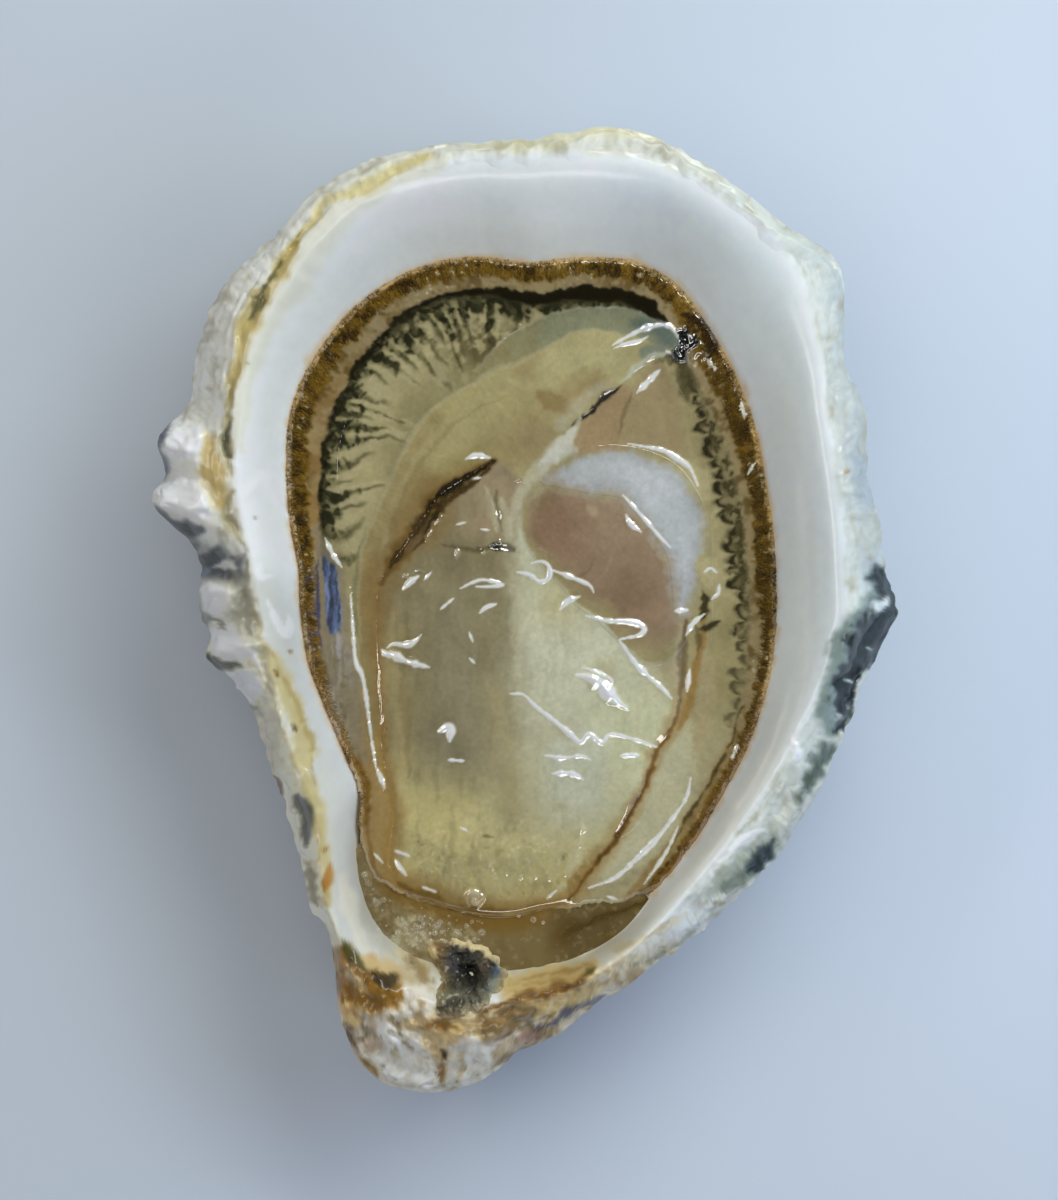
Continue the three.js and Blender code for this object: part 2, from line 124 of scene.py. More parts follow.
RIM_HEIGHT = [
    [0, 18.5], [15, 21], [30, 22.5], [45, 23], [60, 24.5], [75, 25.2], [90, 24.8],
    [105, 24.6], [120, 23.5], [135, 21.5], [149, 19], [155, 20.8], [159, 18.6],
    [164, 20.4], [169, 16.2], [176, 18.2], [183, 15.8], [188, 18], [194, 15.4],
    [203, 16.2], [215, 17], [228, 18], [240, 18.5], [248, 16], [256, 14.5],
    [265, 15], [275, 16.5], [290, 18.5], [305, 19], [320, 19], [335, 19.5],
    [348, 18.8],
]
# The mantle's margin by bearing, in millimetres in from its edge: the end of the brown
# fringe, the black band's start and end, the reach of its streaks, and its blackness.
BANDS = [
    [0, 1.5, 2.6, 4, 0.4, 0], [12, 1.9, 2.7, 4.7, 0.4, 0], [24, 1.8, 2.8, 5.1, 0.4, 0],
    [38, 2.4, 3.4, 5.6, 0.5, 0.05], [52, 2.6, 3.8, 5, 0.6, 0.9], [60, 2.1, 3.3, 4.7, 1.6, 1],
    [70, 1.9, 3, 5, 2.6, 1], [90, 1.9, 3.1, 4.7, 4.2, 1], [105, 1.9, 3.3, 4.3, 5.2, 1],
    [120, 2.1, 3.9, 4.7, 4.6, 1], [135, 2.3, 4.2, 4.9, 4.9, 0.95], [150, 2.1, 3.5, 4.1, 3.9, 0.95],
    [160, 1.9, 3, 3.6, 3, 0.9], [167, 1.8, 2.7, 3.5, 2.2, 0.8], [173, 1.6, 2.5, 3.1, 0.6, 0.1],
    [185, 1.5, 2.4, 3.2, 0.1, 0], [215, 1.2, 2.2, 3, 0, 0], [230, 1, 1.8, 2.4, 0, 0],
    [285, 1, 2, 2.3, 0, 0], [300, 1, 2.1, 2.4, 0, 0], [318, 1.1, 1.8, 2.2, 0, 0],
    [330, 1.2, 2, 2.6, 0.2, 0], [345, 1.3, 2.4, 3.6, 0.4, 0],
]

# Outlines of the animal's parts.
BODY_EDGE = [(-3.3, 15.6), (-5.3, 14.6), (-7.2, 13.4), (-9.1, 12.1), (-10.3, 10.4), (-11.6, 8.5),
             (-12.8, 6.7), (-14.3, 4.8), (-15.1, 3.1), (-15.5, 1), (-15.5, -4.2), (-15.3, -7.4),
             (-15.1, -10.5), (-14.9, -14.5), (-13.9, -19.4), (-13.8, -21.7), (-14.2, -25.7), (-13.4, -27.9),
             (-10.9, -29.2), (-8.1, -30.3), (-5, -31.1), (-1.8, -31.2), (1.3, -30.5), (3.8, -29.9),
             (5.1, -28.6), (7, -25.7), (8.9, -23.5), (10.4, -21), (11.7, -18.5), (12.8, -15.7),
             (13.4, -13.9), (14.6, -12.3), (15.7, -9.8), (15.9, -6.6), (15.9, -3.4), (16.3, -0.8)]
QUICK = [(16.3, -0.8), (16.1, -2.6), (14.8, -4.3), (12.9, -5.2), (11, -4.1), (9.4, -2.6), (6.9, -0.3),
         (5.2, 0.9), (3.5, 3), (1.4, 5.1), (0.2, 6.8), (-0.5, 8.9), (-0.5, 11), (0.6, 12.4), (2.3, 13.4),
         (4.6, 13), (6.9, 12.6), (9.6, 12.2), (11, 10.8), (12.9, 8.5), (14.6, 6.2), (15.1, 4.2), (15.3, 2),
         (15.7, 0.1)]
CATCH = [(1.6, 13.6), (2.9, 14.8), (5.2, 16.2), (7.5, 16.9), (10.2, 16.9), (12.9, 16.2), (15.2, 15),
         (16.9, 12.9), (18.2, 10.1), (18.3, 7.6), (17.9, 5.1), (17.3, 2.4), (16.5, 0.2), (15.4, 0.2),
         (15.1, 3), (14.6, 5.9), (12.9, 8.5), (11, 10.8), (9.6, 12.1), (6.9, 12.5), (4.6, 12.9),
         (2.9, 13.3)]
GILL_RIM = [(-16.4, -13.5), (-17.2, -6), (-17.8, -1), (-17.9, 3.6), (-17.1, 7.4), (-15.8, 10.6),
            (-14.5, 14), (-13.1, 17), (-11.3, 19.9), (-9.3, 21.5), (-7.2, 23.1), (-5.2, 24.3), (-4.4, 26.2),
            (-2.4, 28.2), (0.5, 29.9), (3.4, 30.95), (6.3, 31.5), (9.2, 31.4), (12, 30.8), (14.4, 29.6),
            (15.8, 28.2)]
GILL_FRONT = [
    (14.6, 26.8), (12.9, 26), (10.6, 24.4), (9.4, 23.3), (8.3, 22.4), (7.1, 21.3), (5.7, 20.2), (4.3, 19),
    (2.6, 17.2), (0.6, 15.2), (-1.2, 13.6), (-2.2, 13.9),
]
# The mound is the body with the muscle, round the muscle's outer side.
MOUND = BODY_EDGE + [(16.6, 0.4), *CATCH[11:0:-1], (1.4, 13.6), (-1.2, 13.4)]


# ---------------------------------------------------------------- curves and noise

def ring(points, column=1):
    """The smooth closed curve through [bearing, value, ...] rows, as a function of bearing."""
    table = np.array(sorted(points), dtype=float)
    bearing = np.concatenate([table[-2:, 0] - 360, table[:, 0], table[:2, 0] + 360])
    value = np.concatenate([table[-2:, column], table[:, column], table[:2, column]])
    slope = np.zeros_like(value)
    step = np.diff(value) / np.diff(bearing)
    slope[1:-1] = (step[1:] + step[:-1]) / 2

    def at(degrees):
        turned = np.mod(degrees, 360.0)
        i = np.clip(np.searchsorted(bearing, turned, side="right") - 1, 1, len(value) - 3)
        span = bearing[i + 1] - bearing[i]
        return hermite(value[i], slope[i] * span, value[i + 1], slope[i + 1] * span,
                       (turned - bearing[i]) / span)

    return at


def hermite(a, slope_a, b, slope_b, t):
    """The cubic from a to b with those slopes at its ends."""
    s = 1 - t
    return a * (1 + 2 * t) * s * s + slope_a * t * s * s + b * t * t * (3 - 2 * t) - slope_b * t * t * s


def ease(value, low=0.0, high=1.0):
    """0 at low, 1 at high, smooth between. low above high turns it round."""
    t = np.clip((value - low) / (high - low), 0, 1)
    return t * t * (3 - 2 * t)


def hump(value, middle, width):
    """1 at the middle, fading to nothing on both sides."""
    return np.exp(-(((value - middle) / width) ** 2))


def mix(a, b, share):
    """a at share 0 and b at share 1."""
    return a + (b - a) * share


def noise(x, y, size, seed=0, octaves=1):
    """Smooth noise from -1 to 1 with features of that size."""
    table = np.random.default_rng(seed).uniform(-1, 1, (256, 256))
    total, amount, weight = 0.0, 1.0, 0.0
    for octave in range(octaves):
        u, v = x / size * 2 ** octave + 31.7 * octave, y / size * 2 ** octave + 11.3 * octave
        i, j = np.floor(u).astype(int), np.floor(v).astype(int)
        u, v = ease(u - i), ease(v - j)
        i, j = i & 255, j & 255
        k, m = (i + 1) & 255, (j + 1) & 255
        total = total + amount * mix(mix(table[i, j], table[k, j], u), mix(table[i, m], table[k, m], u), v)
        weight += amount
        amount *= 0.6
    return np.clip(total / weight * 1.5, -1, 1)


def smooth(points, closed=False, steps=6):
    """Points along the smooth curve through the given points, listed as pairs or x, y, x, y."""
    p = np.reshape(points, (-1, 2)).astype(float)
    if len(p) == 2 and not closed:
        return p
    ends = (p[-1], p[0], p[1]) if closed else (2 * p[0] - p[1], 2 * p[-1] - p[-2])
    p = np.vstack([ends[0], p, *ends[1:]])
    t = np.linspace(0, 1, steps, endpoint=False)[:, None]
    pieces = [0.5 * (2 * b + (c - a) * t + (2 * a - 5 * b + 4 * c - d) * t * t + (3 * b - a - 3 * c + d)
                     * t ** 3) for a, b, c, d in zip(p, p[1:], p[2:], p[3:])]
    return np.vstack([*pieces, p[-2:-1]])


def evenly(points, count):
    """That many points along the smooth curve, evenly spaced."""
    line = smooth(points, steps=12)
    arc = np.concatenate([[0], np.cumsum(np.hypot(*np.diff(line, axis=0).T))])
    at = np.linspace(0, arc[-1], count)
    return np.stack([np.interp(at, arc, line[:, n]) for n in (0, 1)], 1)


(OUTLINE_AT, CREST_AT, MARGIN_AT, MANTLE_EDGE_AT, MARGIN_HEIGHT_AT, CREST_HEIGHT_AT, RIM_HEIGHT_AT) = map(
    ring, (OUTLINE, CREST, MARGIN, MANTLE_EDGE, MARGIN_HEIGHT, CREST_HEIGHT, RIM_HEIGHT))


def circle(radius_at, step=2.0):
    """The closed line of a radius by bearing."""
    bearing = np.arange(0, 360 + step / 2, step)
    turn = np.radians(bearing)
    return (radius_at(bearing) * np.array([np.cos(turn), np.sin(turn)])).T


RIM = circle(OUTLINE_AT, 1.0)
MIDDLE = np.append((RIM.min(0) + RIM.max(0)) / 2, 0)


def place(points):
    """Drawing millimetres to the scene's metres."""
    return (np.array(points, dtype=float) - MIDDLE) * 0.001


def polar(x, y):
    """Bearing in degrees and radius."""
    return np.degrees(np.arctan2(y, x)), np.hypot(x, y)


def around(bearing, radius):
    """x and y at a bearing and radius."""
    turn = np.radians(bearing)
    return radius * np.cos(turn), radius * np.sin(turn)


def spot(x, y, x0, y0, size, wide=1, tall=1):
    """1 at a place, fading smoothly to nothing round it."""
    return hump(np.hypot((x - x0) / wide, (y - y0) / tall), 0, size)


def cup_height(bearing, radius):
    """Height of the valve's inner face."""
    margin, crest, rim = MARGIN_AT(bearing), CREST_AT(bearing), OUTLINE_AT(bearing)
    low, high, edge = MARGIN_HEIGHT_AT(bearing), CREST_HEIGHT_AT(bearing), RIM_HEIGHT_AT(bearing)
    bowl = FLOOR + (low - FLOOR) * np.minimum(radius / margin, 1) ** BOWL_POWER
    slope = BOWL_POWER * (low - FLOOR) / margin
    t = np.clip((radius - margin) / (crest - margin), 0, 1)
    wall = hermite(low, slope * (crest - margin), high, 0, t)
    t = np.clip((radius - crest) / (rim - crest), 0, 1)
    flange = hermite(high, 0, edge, 1.2 * (edge - high), t)
    return np.where(radius < margin, bowl, np.where(radius < crest, wall, flange))


def wall_thickness(bearing, radius):
    """Thickness of the valve at a bearing and radius."""
    margin, crest, rim = MARGIN_AT(bearing), CREST_AT(bearing), OUTLINE_AT(bearing)
    edge = EDGE + BEAK_EDGE * hump(np.mod(bearing, 360), BEAK, 10)
    inner = FLOOR + (MARGIN_WALL - FLOOR) * np.minimum(radius / margin, 1)
    share = np.clip((radius - margin) / (crest - margin), 0, 1)
    outer = mix(CREST_WALL, edge, ease((radius - crest) / (rim - crest)))
    return np.where(radius < crest, mix(inner, CREST_WALL, share), outer)


# ---------------------------------------------------------------- painting

class Sheet:
    """Colour and relief on a fine grid seen from above, laid on in order."""

    def __init__(self, low, high, step, colour):
        self.low, self.step = np.array(low, dtype=float), step
        self.x, self.y = np.meshgrid(np.arange(low[0], high[0], step), np.arange(low[1], high[1], step))
        self.colour = np.tile(np.array(colour, dtype=float), (*self.x.shape, 1))
        self.relief = np.zeros(self.x.shape)

    def window(self, line, reach):
        """The rows and columns within reach of a line."""
        first = np.maximum(((line.min(0) - reach - self.low) / self.step).astype(int), 0)
        last = np.maximum(((line.max(0) + reach - self.low) / self.step).astype(int) + 2, 0)
        return slice(first[1], last[1]), slice(first[0], last[0])

    def part(self, line, reach):
        """The part of the sheet round a line. It shares this sheet's colour and relief."""
        at = self.window(line, reach)
        part = object.__new__(Sheet)
        part.x, part.y, part.colour, part.relief = self.x[at], self.y[at], self.colour[at], self.relief[at]
        part.step = self.step
        part.low = self.low + self.step * np.array([at[1].start, at[0].start])
        return part

    def nearest(self, line, reach):
        """Distance to a line, at most reach, and the arc length and side, 1 on the left, there."""
        away, arc, side = np.full(self.x.shape, float(reach)), np.zeros(self.x.shape), np.ones(self.x.shape)
        start = 0.0
        for a, b in zip(line, line[1:]):
            d, length = b - a, math.hypot(*(b - a))
            at = self.window(np.array([a, b]), reach)
            x, y = self.x[at] - a[0], self.y[at] - a[1]
            if length < 1e-9 or not x.size:
                continue
            t = np.clip((x * d[0] + y * d[1]) / length ** 2, 0, 1)
            here = np.hypot(x - t * d[0], y - t * d[1])
            near = here < away[at]
            away[at][near] = here[near]
            arc[at][near] = start + t[near] * length
            side[at][near] = np.where(d[0] * y[near] - d[1] * x[near] >= 0, 1, -1)
            start += length
        return away, arc, side

    def depth(self, outline, reach=3.0):
        """How deep inside a closed line, minus the distance outside, at most reach."""
        line = smooth(outline, closed=True)
        away, inside, rows = self.nearest(line, reach)[0], np.zeros(self.x.shape, dtype=bool), self.y[:, 0]
        for a, b in zip(line, line[1:]):
            at = slice(*np.searchsorted(rows, sorted((a[1], b[1]))))
            if at.start < at.stop:
                crossing = a[0] + (rows[at] - a[1]) * (b[0] - a[0]) / (b[1] - a[1])
                inside[at] ^= self.x[at] < crossing[:, None]
        return np.where(inside, away, -away)

    def wash(self, colour, share):
        """Covers what is there with a colour, by its share."""
        self.colour += (np.array(colour, dtype=float) - self.colour) * np.clip(share, 0, 1)[..., None]

    def stroke(self, points, width, colour=None, strength=1.0, height=0.0, wobble=0.0, soft=0.5):
        """A line of that full width, painted, raised or both, tapering at its ends."""
        line = smooth(points)
        p = self.part(line, width)
        if not p.x.size:
            return
        away, arc, _ = p.nearest(line, width)
        total = max(1e-6, np.hypot(*np.diff(line, axis=0).T).sum())
        half = width / 2 * (1 + wobble * noise(arc, arc * 0 + total, max(0.8, width), 3, 2))
        half = half * (0.3 + 0.7 * np.clip(3 * np.minimum(arc, total - arc) / total, 0, 1))
        if colour is not None:
            p.wash(colour, strength * ease(away, half * (1 + soft), half * (1 - soft)))
        if height:
            p.relief += height * 2 / width * np.clip(half - away, 0, None)

    def patch(self, points, soft, colour, strength, height, ragged):
        """A region inside a closed line, with a soft edge of that width."""
        reach = 1.0 + soft + ragged
        p = self.part(np.reshape(points, (-1, 2)).astype(float), reach)
        depth = p.depth(points, reach) + ragged * noise(p.x, p.y, 1.2, 5, 3)
        share = ease(depth, -soft / 2, soft / 2)
        p.wash(colour, strength * share)
        p.relief += height * share

    def beads(self, points, count, size, seed):
        """Small round drops scattered along a line."""
        random = np.random.default_rng(seed)
        for x, y in evenly(points, count) + random.normal(0, 0.12, (count, 2)):
            radius = size * random.uniform(0.6, 1.2)
            p = self.part(np.array([[x, y]]), radius)
            p.relief += 0.5 * radius * np.clip(1 - ((p.x - x) ** 2 + (p.y - y) ** 2) / radius ** 2, 0, 1)

    def wander(self, amount, size, seed):
        """Shifts the painting a little this way and that, so that no edge stays straight."""
        x = self.x + amount * noise(self.x, self.y, size, seed, 3)
        y = self.y + amount * noise(self.x, self.y, size, seed + 1, 3)
        self.colour[:], self.relief[:] = self.at(self.colour, x, y), self.at(self.relief, x, y)

    def lay(self, rows):
        """Strokes and patches from rows: what, width, colour, strength, height, raggedness, points."""
        for what, width, colour, strength, height, ragged, points in rows:
            draw = self.stroke if what == "line" else self.patch
            draw(points, width, colour, strength, height, ragged)

    def at(self, field, x, y):
        """A field's value between the grid's points."""
        u = np.clip((x - self.low[0]) / self.step, 0, self.x.shape[1] - 1.001)
        v = np.clip((y - self.low[1]) / self.step, 0, self.x.shape[0] - 1.001)
        i, j = u.astype(int), v.astype(int)
        u, v = u - i, v - j
        if field.ndim == 3:
            u, v = u[..., None], v[..., None]
        return mix(mix(field[j, i], field[j, i + 1], u), mix(field[j + 1, i], field[j + 1, i + 1], u), v)


def layers(field, base, *washes):
    """Colours over a field: a base and washes of a colour and its share, laid on in order."""
    colour = np.tile(np.array(base, dtype=float), (*field.shape, 1))
    for tint, share in washes:
        colour = colour + (np.array(tint, dtype=float) - colour) * np.clip(share, 0, 1)[..., None]
    return colour


def albedo(colour):
    """0 to 255 as seen, to linear albedo under the stage's light."""
    c = np.clip(np.asarray(colour, dtype=float) / 255, 0, 1)
    linear = np.where(c <= 0.04045, c / 12.92, ((c + 0.055) / 1.055) ** 2.4)
    return np.clip(linear / LIGHT, 0.001, 0.92)


# ---------------------------------------------------------------- the animal's surface

SHEETS = {}


def margin_fields(sheet):
    """Depth in from the mantle's margin, arc length along it, bearing, and the bands there."""
    line = circle(MARGIN_AT)
    away, arc, side = sheet.nearest(line, 14)
    depth = np.where(side > 0, away, -away)
    arcs = np.concatenate([[0], np.cumsum(np.hypot(*np.diff(line, axis=0).T))])
    bearing = np.interp(arc, arcs, np.arange(0, 360.1, 2))
    return depth, arc, bearing, [ring(BANDS, n)(bearing) for n in range(1, 6)]


def meat():
    """The whole animal seen from above: painted once, then shared by its pieces."""
    if "meat" in SHEETS:
        return SHEETS["meat"]
    s = Sheet(*MEAT_AREA, MEAT_STEP, (146, 137, 98))
    s.body = s.depth(BODY_EDGE + QUICK[1:14] + [(-0.6, 13.6)], 8)
    s.quick, s.catch = s.depth(QUICK), s.depth(CATCH)
    s.gills = s.depth(GILL_RIM + GILL_FRONT + BODY_EDGE[:13])
    s.mound = s.depth(MOUND, 9)
    depth, arc, bearing, bands = margin_fields(s)
    paint_mantle(s, depth, arc, bearing, bands)
    over = Sheet(*MEAT_AREA, MEAT_STEP, (148, 139, 100))
    fade = mix(0.5, 2.1, ease(s.y + 0.62 * s.x, 9.5, 5.5))
    bridged = np.maximum(s.quick, np.minimum(s.catch + 0.9, s.quick + 1.3))
    round_muscle, from_muscle = np.arctan2(s.y - 5, s.x - 7.5) * 9, np.hypot(s.x - 7.5, s.y - 5)
    brushed = 0.7 * noise(round_muscle, from_muscle * 0.3, 0.45, 72, 3) + 0.7 * noise(s.x, s.y, 1.8, 76, 2)
    masks = {
        paint_gills: ease(s.gills, -0.12, 0.14),
        paint_body: ease(s.body, -0.2, 0.2),
        paint_quick: ease(bridged + 0.5 * noise(s.x, s.y, 1.4, 71, 3), -0.4 * fade, 1.6 * fade),
        paint_catch: ease(s.catch + 0.5 * brushed, -0.4, 0.9),
    }
    for paint, mask in masks.items():
        over.relief[:] = 0
        paint(over, s)
        s.wash(over.colour, mask)
        s.relief[:] = mix(s.relief, over.relief, mask)
    paint_seams(s)
    # Heights: the mantle with its two folds, the gills on it, and the mound of body and muscle.
    brown, black = bands[0], bands[1]
    low = np.maximum(MARGIN_HEIGHT_AT(polar(s.x, s.y)[0]) + 0.1, MARGIN_HEIGHT_AT(bearing))
    level = low + 0.38 * hump(depth, brown * 0.55, 1.2) + 0.22 * hump(depth, black + 1.2, 1.8)
    level = np.maximum(level - 0.45 * ease(depth, 3.5, 9), LIQUOR_LEVEL + 0.25)
    pool = ease(s.y, -28.5, -31) * ease(s.mound, 0.6, -0.5) * ease(s.x, 6, 3)
    level = mix(level, LIQUOR_LEVEL - 0.5, pool)
    level = mix(level, level + 0.14 * ease(s.y, -6, 6) + 0.4 * ease(s.gills, 0, 4.5), ease(s.gills, -1, 1))
    swell = 0.25 * spot(s.x, s.y, 4, -7, 8) - 0.25 * spot(s.x, s.y, -9, -14, 7)
    crown = CROWN + 1.1 * (1 - np.exp(-np.maximum(s.mound, 0) / 3.2)) + swell
    # The mound rises gently on the left, and from a short step on the right and at the pool.
    stepped = mix(level, crown, ease(s.mound / 0.9, -1, 1))
    from_foot = s.mound + 2 * ease(s.y, -24, -28.5)
    gentle = mix(level, 18 + swell, ease(from_foot, -1.6, mix(8.2, 10.2, ease(s.y, -24, -28.5))))
    steep = 0.6 * ease(s.x, 6, 11) * ease(s.y, 6, -2) * ease(s.y, -27, -22)
    s.height = mix(gentle, stepped, steep) + s.relief
    s.height += 0.05 * noise(s.x, s.y, 3.2, 73, 2) + 0.005 * noise(s.x, s.y, 0.7, 74, 2)
    SHEETS["meat"] = s
    return s


def paint_mantle(s, depth, arc, b, bands):
    """The mantle: its brown fringe, tan strip, black band with streaks, and plain inner part."""
    brown, black, inner, reach, blackness = bands
    x, y = s.x, s.y
    fine, coarse = noise(x, y, 0.45, 11, 3), noise(x, y, 2.6, 12, 3)
    fibre = noise(arc, depth * 0.3, 0.34, 13, 2)
    s.wash((134, 126, 90), ease(x, 2, -14) * ease(y, 0, 12))
    s.wash((152, 142, 104), ease(x, 8, 15) * ease(y, -2, 8))
    s.wash((172, 163, 124), 0.85 * hump((x - 18.2 + 0.2 * (y - 8)) / 1.6, 0, 1) * ease(y, -2, 3)
           * ease(y, 20, 14))
    s.wash((160, 151, 110), 0.8 * ease(x, 0, -6) * ease(y, 3, 9) * ease(depth, 4.6, 6)
           * ease(depth, 11.5, 8.5))
    s.wash((160, 152, 120), ease(x, 2, 11) * ease(y, -8, -16))
    s.wash((146, 128, 82), ease(x, -8, -15) * ease(y, -6, -12))
    s.wash((124, 114, 80), 0.4 * ease(coarse, 0.1, 0.9))
    s.wash((158, 148, 110), 0.4 * ease(coarse, -0.1, -0.9))
    # Tan between the brown fringe and the black band.
    top, left = ease(b, 50, 62) * ease(b, 178, 165), hump(b, 185, 22)
    right, low = ease(b, 62, 45) + ease(b, 316, 330), ease(b, 196, 212) * ease(b, 335, 322)
    tan = ease(depth, black + 0.25, black - 0.15)
    s.wash((132, 117, 84), 0.9 * tan)
    s.wash((146, 130, 102), 0.55 * tan * ease(fibre + 0.3 * fine, 0, 0.6))
    s.wash((98, 80, 42), 0.5 * tan * ease(noise(arc, depth * 0.5, 0.9, 14, 3), 0.2, 0.7))
    s.wash((156, 132, 86), 0.85 * tan * hump(b, 165, 26))
    s.wash((114, 84, 42), 0.5 * tan * hump(b, 148, 22)
           * ease(noise(arc, depth * 0.6, 1.5, 16, 3), -0.1, 0.5))
    s.wash((80, 62, 30), 0.7 * tan * ease(noise(arc, depth * 0.9, 1.1, 15, 3), 0.25, 0.6)
           * ease(noise(x, y, 6, 17, 2), -0.5, 0.4))
    # The brown fringe: fibres, blotches and a golden fuzzy edge.
    ragged = brown + 0.3 * fibre + 0.25 * noise(arc, depth * 0, 1.5, 17, 3)
    fringe = ease(depth, ragged + 0.3, ragged - 0.25)
    s.wash((102, 77, 22), 0.95 * fringe)
    blotch = noise(arc, depth * 0.8, 1.15, 18, 3) + 0.45 * fibre + 0.3 * fine
    s.wash((50, 36, 8), 0.9 * fringe * ease(blotch, -0.2, 0.35) * ease(depth, 0.3, 0.8))
    s.wash((66, 50, 16), 0.6 * fringe * (right + hump(b, 350, 20)) * ease(depth, 0.4, 0.9))
    s.wash((142, 108, 44), 0.5 * fringe * ease(fibre + 0.4 * fine, 0.25, 0.8))
    s.wash((178, 148, 88), 0.9 * ease(depth + 0.2 * fibre, 0.6, 0.05) * (1 - 0.35 * left))
    # Painted highlights: sparse near-white specks over the fringe and the tan strip, for tiny glints.
    s.wash((206, 198, 176), 0.8 * ease(depth, black, black - 0.6)
           * ease(noise(x, y, 0.34, 19, 2), 0.66, 0.85) * ease(noise(x, y, 3, 20), -0.2, 0.4))
    edge = ease(depth, ragged + 0.2, ragged - 0.2)
    s.wash((140, 106, 52), 0.75 * edge * hump(b, 212, 22))
    s.wash((112, 82, 36), 0.85 * edge * hump(b, 305, 26) * ease(depth, 1.2, 0.3))
    s.wash((142, 120, 76), 0.7 * low * ease(depth, 0.9, 1.3) * ease(depth, 2.6, 1.6))
    # The black band on the round end, its streaks pointing inwards and bending aside.
    dots = noise(x, y, 0.5, 27, 3) + 0.5 * noise(x, y, 1.2, 28, 2)
    rag = 0.22 * noise(arc, depth, 0.6, 23, 3) + 0.15 * noise(arc, depth, 2.2, 24)
    band = (ease(depth, black - 0.2 + rag, black + 0.12 + rag)
            * ease(depth, inner + 0.3 + 1.6 * rag, inner - 0.1 + 1.6 * rag))
    thin = 1 - 0.7 * hump(b, 141, 16) * ease(noise(arc, depth * 2, 1.3, 25, 2), 0.1, 0.5)
    s.wash((20, 17, 5), 0.97 * band * top * blackness * thin)
    bend = 0.11 * np.clip(depth - inner, 0, 8) ** 1.5
    drift = 0.4 * noise(x, y, 2, 20, 2) * ease(depth, inner, inner + 1.2)
    cell = (arc + bend + drift) / STREAK_PITCH
    cell = cell + 0.30 * noise(arc, arc * 0, 5, 21)
    number = np.floor(cell)
    phase = np.abs(cell - number - 0.5) * 2
    length = reach * (0.85 + 0.45 * noise(number * 1.7, number * 0, 1, 26)) + 0.4
    along = (depth - inner + 0.4) / np.maximum(length + 0.4, 0.3)
    wide = 1 + 0.2 * noise(number * 2.3, number * 0, 1, 22)
    edge = wide * (1 - np.clip(along, 0, 1) ** 1.2) - phase
    wedge = ease(edge + 0.32 * dots, -0.16, 0.16) * ease(along, -0.1, 0.05) * ease(along, 1.1, 0.95)
    core = ease(0.8 * edge + 0.5 * dots - 0.12 * along, 0.02, 0.4)
    streaked = top * ease(reach, 0.3, 1.2) * blackness
    s.wash((164, 155, 120), 0.6 * top * ease(-edge, 0, 0.35) * ease(along, 0.1, 0.35) * ease(along, 1.7, 1)
           * ease(reach, 1, 2))
    s.wash((112, 107, 76), 0.8 * wedge * streaked)
    s.wash((62, 60, 38), 0.9 * wedge * core * streaked)
    s.wash((66, 58, 32), 0.75 * spot(x, y, -4.4, 27.4, 2.4, wide=1.7) * ease(dots, -0.5, 0.2))
    s.wash((28, 28, 16), 0.85 * wedge * ease(dots, 0, 0.35) * ease(along, 0.95, 0.2) * streaked)
    s.wash((78, 74, 48), 0.7 * streaked * hump(phase, 0, 0.22) * ease(along, 0.5, 0.75)
           * ease(along, 1.45, 1.1))
    s.wash((22, 20, 10), 0.9 * top * blackness * hump(depth - black - 0.25 - rag, 0, 0.28)
           * ease(noise(arc, depth, 0.7, 39, 2), -0.6, 0))
    # On the right the band breaks into olive lobes with dark rims, mottled outside them.
    lobe = arc / LOBE_PITCH + 0.5 * noise(arc, arc * 0, 3.5, 29)
    turn = (lobe - np.floor(lobe)) * 2 - 1
    bulge = np.sqrt(np.clip(1 - turn ** 2, 0, 1))
    bulge = bulge * (0.8 + 0.35 * noise(np.floor(lobe) * 1.3, turn * 0, 1, 30))
    line = depth - (inner - 1.15 + 1.3 * bulge) + 0.14 * noise(x, y, 0.45, 31, 2)
    strip = (right * ease(depth, black - 0.3, black + 0.4) * ease(y, -14, -9)
             * (0.55 + 0.45 * ease(y, -8, 4)) * ease(b - 360 * (b > 180), 64, 56))
    s.wash((116, 107, 76), 0.85 * strip * ease(line, 0.15, -0.1))
    s.wash((48, 43, 22), 0.9 * strip * ease(dots + 0.4 * fine, -0.5, 0.1) * ease(line, 0, -0.3)
           * ease(y, -14, 4))
    s.wash((92, 84, 56), 0.5 * strip * ease(dots + 0.3 * fine, 0.1, 0.5) * ease(line, 0, -0.3))
    s.wash((136, 127, 96), 0.7 * strip * hump(np.hypot(turn, (line + 0.6) / 0.6), 0, 0.6))
    s.wash((36, 33, 18), 0.95 * strip * hump(line, -0.1, 0.42) * ease(noise(x, y, 0.4, 32, 2), -0.9, -0.2)
           * ease(bulge, 0.1, 0.5))
